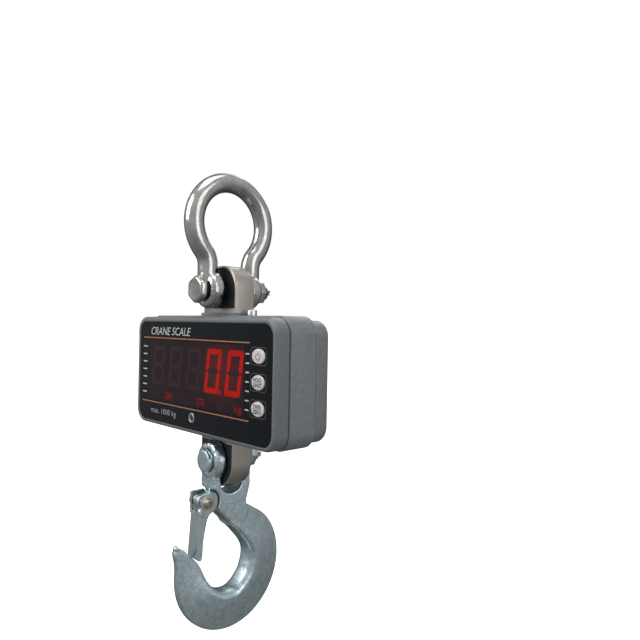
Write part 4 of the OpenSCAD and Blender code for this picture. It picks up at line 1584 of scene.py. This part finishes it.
class CRANE_OT_latch(bpy.types.Operator):
    """Fold the safety latch and fit its bolt, nut and spring"""

    bl_idname = "crane_scale.latch"
    bl_label = "Safety latch"

    def execute(self, context):
        half, t, bend = 7.8, 1.5, 2.6
        rings = []
        for i in range(33):
            z = -6.6 - 32.6 * i / 32
            front = -4.4 - 2.3 * (-z - 7) / 32.0
            deep = spline(
                -z,
                [
                    (6.6, 8.6), (8.1, 7.0), (12, 5.0), (17.2, 4.1), (27.4, 3.2), (36, 3.3), (38.6, 2.9),
                    (39.2, 2.2)
                ]
            )
            back = front + deep
            ring = []
            steps = 8
            for s in (1, -1):
                arc = [
                    (s * (half - bend + bend * sin(a)), front + bend - bend * cos(a))
                    for a in (pi / 2 * k / steps for k in range(steps + 1))
                ]
                edge = [
                    (s * half, max(back - 0.25, front + bend)),
                    (s * (half - 0.3), max(back, front + bend + 0.1)),
                    (s * (half - t + 0.3), max(back, front + bend + 0.1)),
                    (s * (half - t), max(back - 0.25, front + bend))
                ]
                r = bend - t
                inner = [
                    (s * (half - bend + r * sin(a)), front + bend - r * cos(a))
                    for a in (pi / 2 * k / steps for k in range(steps, -1, -1))
                ]
                line = arc + edge + inner
                ring.append(line)
            ring = ring[0] + ring[1][::-1]
            rings.append([at(x, PIVOT_Y + y, PIVOT_Z + z) for x, y in ring])
        channel = loft("channel", rings)
        carve(
            channel,
            block(
                "relief", (t - half, PIVOT_Y - 12, PIVOT_Z - 46),
                (half - t, PIVOT_Y + 12, PIVOT_Z - 38.75)
            )
        )
        parts = [channel]
        for s in (-1, 1):
            shape = [
                (8.6 * cos(a), 8.6 * sin(a))
                for a in (radians(-62 + (118 + 62) * i / 40) for i in range(41))
            ]
            shape = [(y, min(z, 6.0)) for y, z in shape if y > -2.5]
            shape += [(-4.1, 6.0), (-4.4, 5.7), (-4.4, -6.0), (-4.45, -9.0), (0.3, -9.2)]
            ear = side_slab("ear", [(PIVOT_Y + y, PIVOT_Z + z) for y, z in shape], s * (half - t), s * half)
            parts.append(ear)
        latch = forge(gather("fold", parts), 0.26, 3)
        latch.name = "latch_fold"
        place(latch, "safety_latch", "latch_zinc", zinc_sheet(), "latch")

        axis = (0, PIVOT_Y, PIVOT_Z)
        brass = yellow_zinc()
        head = turned(
            "head",
            [
                (2.0, 7.9), (3.3, 7.95), (3.5, 8.2), (3.45, 8.9), (3.1, 9.6), (2.5, 10.05),
                (1.75, 10.15), (1.6, 9.9), (1.5, 9.2), (0.3, 9.1)
            ],
            axis, "x", 40, angle=40
        )
        shank = turned("shank", [(2.0, -10.6), (2.0, 8.0)], axis, "x", 28)
        place(gather("latch_pivot_bolt", [head, shank]), "hook_set", "yellow_zinc", brass, "latch_bolt")
        rings = [
            hexagon_ring(q, x, axis, "x", 0, 0.08) for q,
            x in ((3.5, -7.95), (3.85, -8.2), (3.9, -9.6), (3.6, -10.2), (2.9, -10.6))
        ]
        place(loft("latch_pivot_nut", rings, angle=40), "hook_set", "yellow_zinc", brass, "latch_nut")

        for s in (-1, 1):
            ring = [(2.1, 7.82), (4.75, 7.82), (4.9, 7.9), (4.9, 8.12), (4.75, 8.2), (2.1, 8.2)]
            washer = turned(
                "latch_washer_right" if s > 0 else "latch_washer_left", [(q, s * x) for q, x in ring],
                axis, "x", 36, loop=True
            )
            place(washer, "hook_set", "zinc_steel", washer_steel())
        coils = []
        for s in (-1, 1):
            path = [
                (
                    s * (3.55 + 2.1 * i / 84), PIVOT_Y + 3.0 * cos(2 * pi * i / 28),
                    PIVOT_Z + 3.0 * sin(2 * pi * i / 28)
                )
                for i in range(85)
            ]
            coils.append(tube("coil", path, 0.4, 10))
            leg = [
                (s * 3.75, PIVOT_Y - 3.0, PIVOT_Z + 0.4), (s * 3.75, PIVOT_Y - 3.3, PIVOT_Z - 4),
                (s * 3.75, PIVOT_Y - 3.35, PIVOT_Z - 9), (s * 3.75, PIVOT_Y - 3.35, PIVOT_Z - 13.6)
            ]
            coils.append(tube("leg", leg, 0.4, 10))
        place(
            gather("latch_torsion_spring", coils), "hook_set", "screw_steel", bright_screw(),
            "latch_spring"
        )
        return {"FINISHED"}


# ---------------------------------------------------------------- inside


class CRANE_OT_inside(bpy.types.Operator):
    """Give the boards, cells, collars and switches inside the case their finishes"""

    bl_idname = "crane_scale.inside"
    bl_label = "Inside"

    def execute(self, context):
        board = finish(
            "Circuit board", (0.01, 0.09, 0.035), (0.008, 0.06, 0.025), (0.25, 0.4), 0.0, (400.0, 0.15),
            (900.0, 0.00001)
        )
        sleeve = finish(
            "Battery sleeve", (0.02, 0.07, 0.25), (0.016, 0.055, 0.2), (0.3, 0.45), 0.0, (60.0, 0.3),
            (900.0, 0.00002)
        )
        collar = finish(
            "Moulded collar", (0.04, 0.04, 0.043), (0.03, 0.03, 0.033), (0.45, 0.6), 0.0, (60.0, 0.3),
            (1500.0, 0.00002)
        )
        foil = finish(
            "Gauge foil", (0.5, 0.32, 0.1), (0.4, 0.25, 0.08), (0.3, 0.4), 0.8, (300.0, 0.3),
            (2000.0, 0.00001)
        )
        finishes = {
            "strain_gauges": foil, "cell_cable": black_plastic(),
            "upper_bracket": collar, "lower_bracket": collar,
            "bracket_screws": bright_screw(), "display_board": board, "digit_modules": black_plastic(),
            "key_switches": black_plastic(), "main_board": board,
            "board_chips": black_plastic(), "battery_pack": sleeve,
        }
        for node, material in finishes.items():
            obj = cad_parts[node]
            for i in range(len(obj.material_slots)):
                obj.material_slots[i].material = material
        return {"FINISHED"}


# ---------------------------------------------------------------- stage


def soft_light(name, place_at, size, power):
    """A soft rectangular light that faces the middle of the scale."""
    data = bpy.data.lights.new(name, "AREA")
    data.shape, data.size, data.size_y = "RECTANGLE", size[0], size[1]
    data.energy = power
    obj = bpy.data.objects.new(name, data)
    obj.location = place_at
    obj.rotation_euler = (Vector((0, 0, -0.12)) - Vector(place_at)).to_track_quat("-Z", "Y").to_euler()
    bpy.context.scene.collection.objects.link(obj)
    return obj


class CRANE_OT_stage(bpy.types.Operator):
    """Set up the camera, the floor and the studio light"""

    bl_idname = "crane_scale.stage"
    bl_label = "Stage"

    def execute(self, context):
        scene = context.scene
        scene.view_settings.view_transform = "Standard"
        # The camera looks at the scale from its front right, almost level, turned by these few radians.
        pitch, roll = 0.008222, 0.017926
        ahead = Vector((-0.7164 * cos(pitch), 0.6977 * cos(pitch), sin(pitch))).normalized()
        right = Vector((0.6977, 0.7164, 0)).normalized()
        up = right.cross(ahead)
        image_right = right * cos(roll) + up * sin(roll)
        image_up = -right * sin(roll) + up * cos(roll)
        data = bpy.data.cameras.new("Camera")
        data.lens, data.sensor_width, data.clip_start = 33.47, 36.0, 0.01
        camera = bpy.data.objects.new("Camera", data)
        turn = Matrix((image_right, image_up, -ahead)).transposed()
        camera.matrix_world = Matrix.Translation(at(356.3, -254.1, 37.7)) @ turn.to_4x4()
        scene.collection.objects.link(camera)
        scene.camera = camera

        options = settings().stage
        size, z = 30.0, -options.drop
        floor = loft(
            "floor",
            [
                [Vector((sx * size, sy * size, h)) for sx, sy in ((-1, -1), (1, -1), (1, 1), (-1, 1))]
                for h in (z - 0.01, z)
            ]
        )
        floor.data.materials.append(
            finish(
                "Pale floor", (0.86, 0.86, 0.86), (0.84, 0.84, 0.84), (0.7, 0.8), 0.0, (2.0, 0.3),
                (200.0, 0.00001), emission=(1, 1, 1), strength=1.0
            )
        )
        floor.visible_glossy = floor.visible_diffuse = False

        world = bpy.data.worlds.new("Studio")
        scene.world = world
        world.use_nodes = True
        tree = world.node_tree
        new, link = tree.nodes.new, tree.links.new
        back = tree.nodes["Background"]
        where, axis, ramp, path, mix = (
            new(t)
            for t in (
                "ShaderNodeTexCoord", "ShaderNodeSeparateXYZ", "ShaderNodeValToRGB",
                "ShaderNodeLightPath", "ShaderNodeMix"
            )
        )
        mix.data_type = "RGBA"
        mix.inputs["B"].default_value = (1, 1, 1, 1)
        # Brightness of the surroundings, from straight below to straight above.
        stops = ramp.color_ramp.elements
        stops[0].position, stops[0].color = 0.0, (0.20, 0.20, 0.20, 1)
        stops[1].position, stops[1].color = 1.0, (0.85, 0.85, 0.85, 1)
        for place_at, value in ((0.3, 0.33), (0.5, 0.54), (0.65, 0.62), (0.8, 0.72)):
            stop = stops.new(place_at)
            stop.color = (value, value, value * 1.01, 1)
        # They are darker on the far side, so that rounded edges read against the pale floor.
        half, away, shade_off, dim = (
            new(t)
            for t in (
                "ShaderNodeMapRange", "ShaderNodeVectorMath", "ShaderNodeMapRange", "ShaderNodeMix"
            )
        )
        half.inputs["From Min"].default_value = -1.0
        away.operation = "DOT_PRODUCT"
        away.inputs[1].default_value = tuple(ahead)
        shade_off.interpolation_type = "SMOOTHSTEP"
        shade_off.inputs["From Min"].default_value, shade_off.inputs["From Max"].default_value = 0.05, 0.85
        shade_off.inputs["To Min"].default_value, shade_off.inputs["To Max"].default_value = 1.0, 0.2
        dim.data_type, dim.blend_type = "RGBA", "MULTIPLY"
        dim.inputs["Factor"].default_value = 1.0
        link(where.outputs["Generated"], axis.inputs["Vector"])
        link(where.outputs["Generated"], away.inputs[0])
        link(axis.outputs["Z"], half.inputs["Value"])
        link(half.outputs["Result"], ramp.inputs["Fac"])
        link(away.outputs["Value"], shade_off.inputs["Value"])
        link(ramp.outputs["Color"], dim.inputs["A"])
        link(shade_off.outputs["Result"], dim.inputs["B"])
        link(path.outputs["Is Camera Ray"], mix.inputs["Factor"])
        link(dim.outputs["Result"], mix.inputs["A"])
        link(mix.outputs["Result"], back.inputs["Color"])

        soft_light("Key light", (-0.45, -1.05, 0.55), (0.9, 0.9), options.key_power)
        soft_light("Side light", (1.15, 0.1, 0.25), (0.7, 1.0), options.fill_power)
        soft_light("Top light", (0.1, -0.1, 1.1), (0.8, 0.8), options.fill_power * 1.7)
        soft_light("Back light", (-0.5, 0.95, 0.8), (0.9, 0.9), options.fill_power * 1.2)
        return {"FINISHED"}


# ---------------------------------------------------------------- panel and run

PIECES = (
    CRANE_OT_stage, CRANE_OT_shackle, CRANE_OT_load_cell, CRANE_OT_case, CRANE_OT_fasteners,
    CRANE_OT_panel, CRANE_OT_display, CRANE_OT_keys, CRANE_OT_hook, CRANE_OT_latch, CRANE_OT_inside
)


class CRANE_PT_sidebar(bpy.types.Panel):
    """Lists the scale's pieces and the settings that change them"""

    bl_label = "Crane scale"
    bl_idname = "CRANE_PT_sidebar"
    bl_space_type = "VIEW_3D"
    bl_region_type = "UI"
    bl_category = "Crane scale"

    def draw(self, context):
        layout = self.layout
        scale = context.scene.crane_scale
        for label, group in (
            ("Case", scale.case), ("Display", scale.display), ("Metal", scale.metal),
            ("Stage", scale.stage)
        ):
            box = layout.box()
            box.label(text=label)
            for key in group.bl_rna.properties.keys():
                if key not in ("rna_type", "name"):
                    box.prop(group, key)
        for operator in PIECES:
            layout.operator(operator.bl_idname)


CLASSES = (
    CaseSettings, DisplaySettings, MetalSettings, StageSettings, ScaleSettings, *PIECES,
    CRANE_PT_sidebar
)


def register():
    for cls in CLASSES:
        bpy.utils.register_class(cls)
    bpy.types.Scene.crane_scale = PointerProperty(type=ScaleSettings)


def unregister():
    del bpy.types.Scene.crane_scale
    for cls in reversed(CLASSES):
        bpy.utils.unregister_class(cls)


def main():
    register()
    for operator in PIECES:
        group, name = operator.bl_idname.split(".")
        getattr(getattr(bpy.ops, group), name)()
    bpy.context.view_layer.update()


if __name__ == "__main__":
    main()
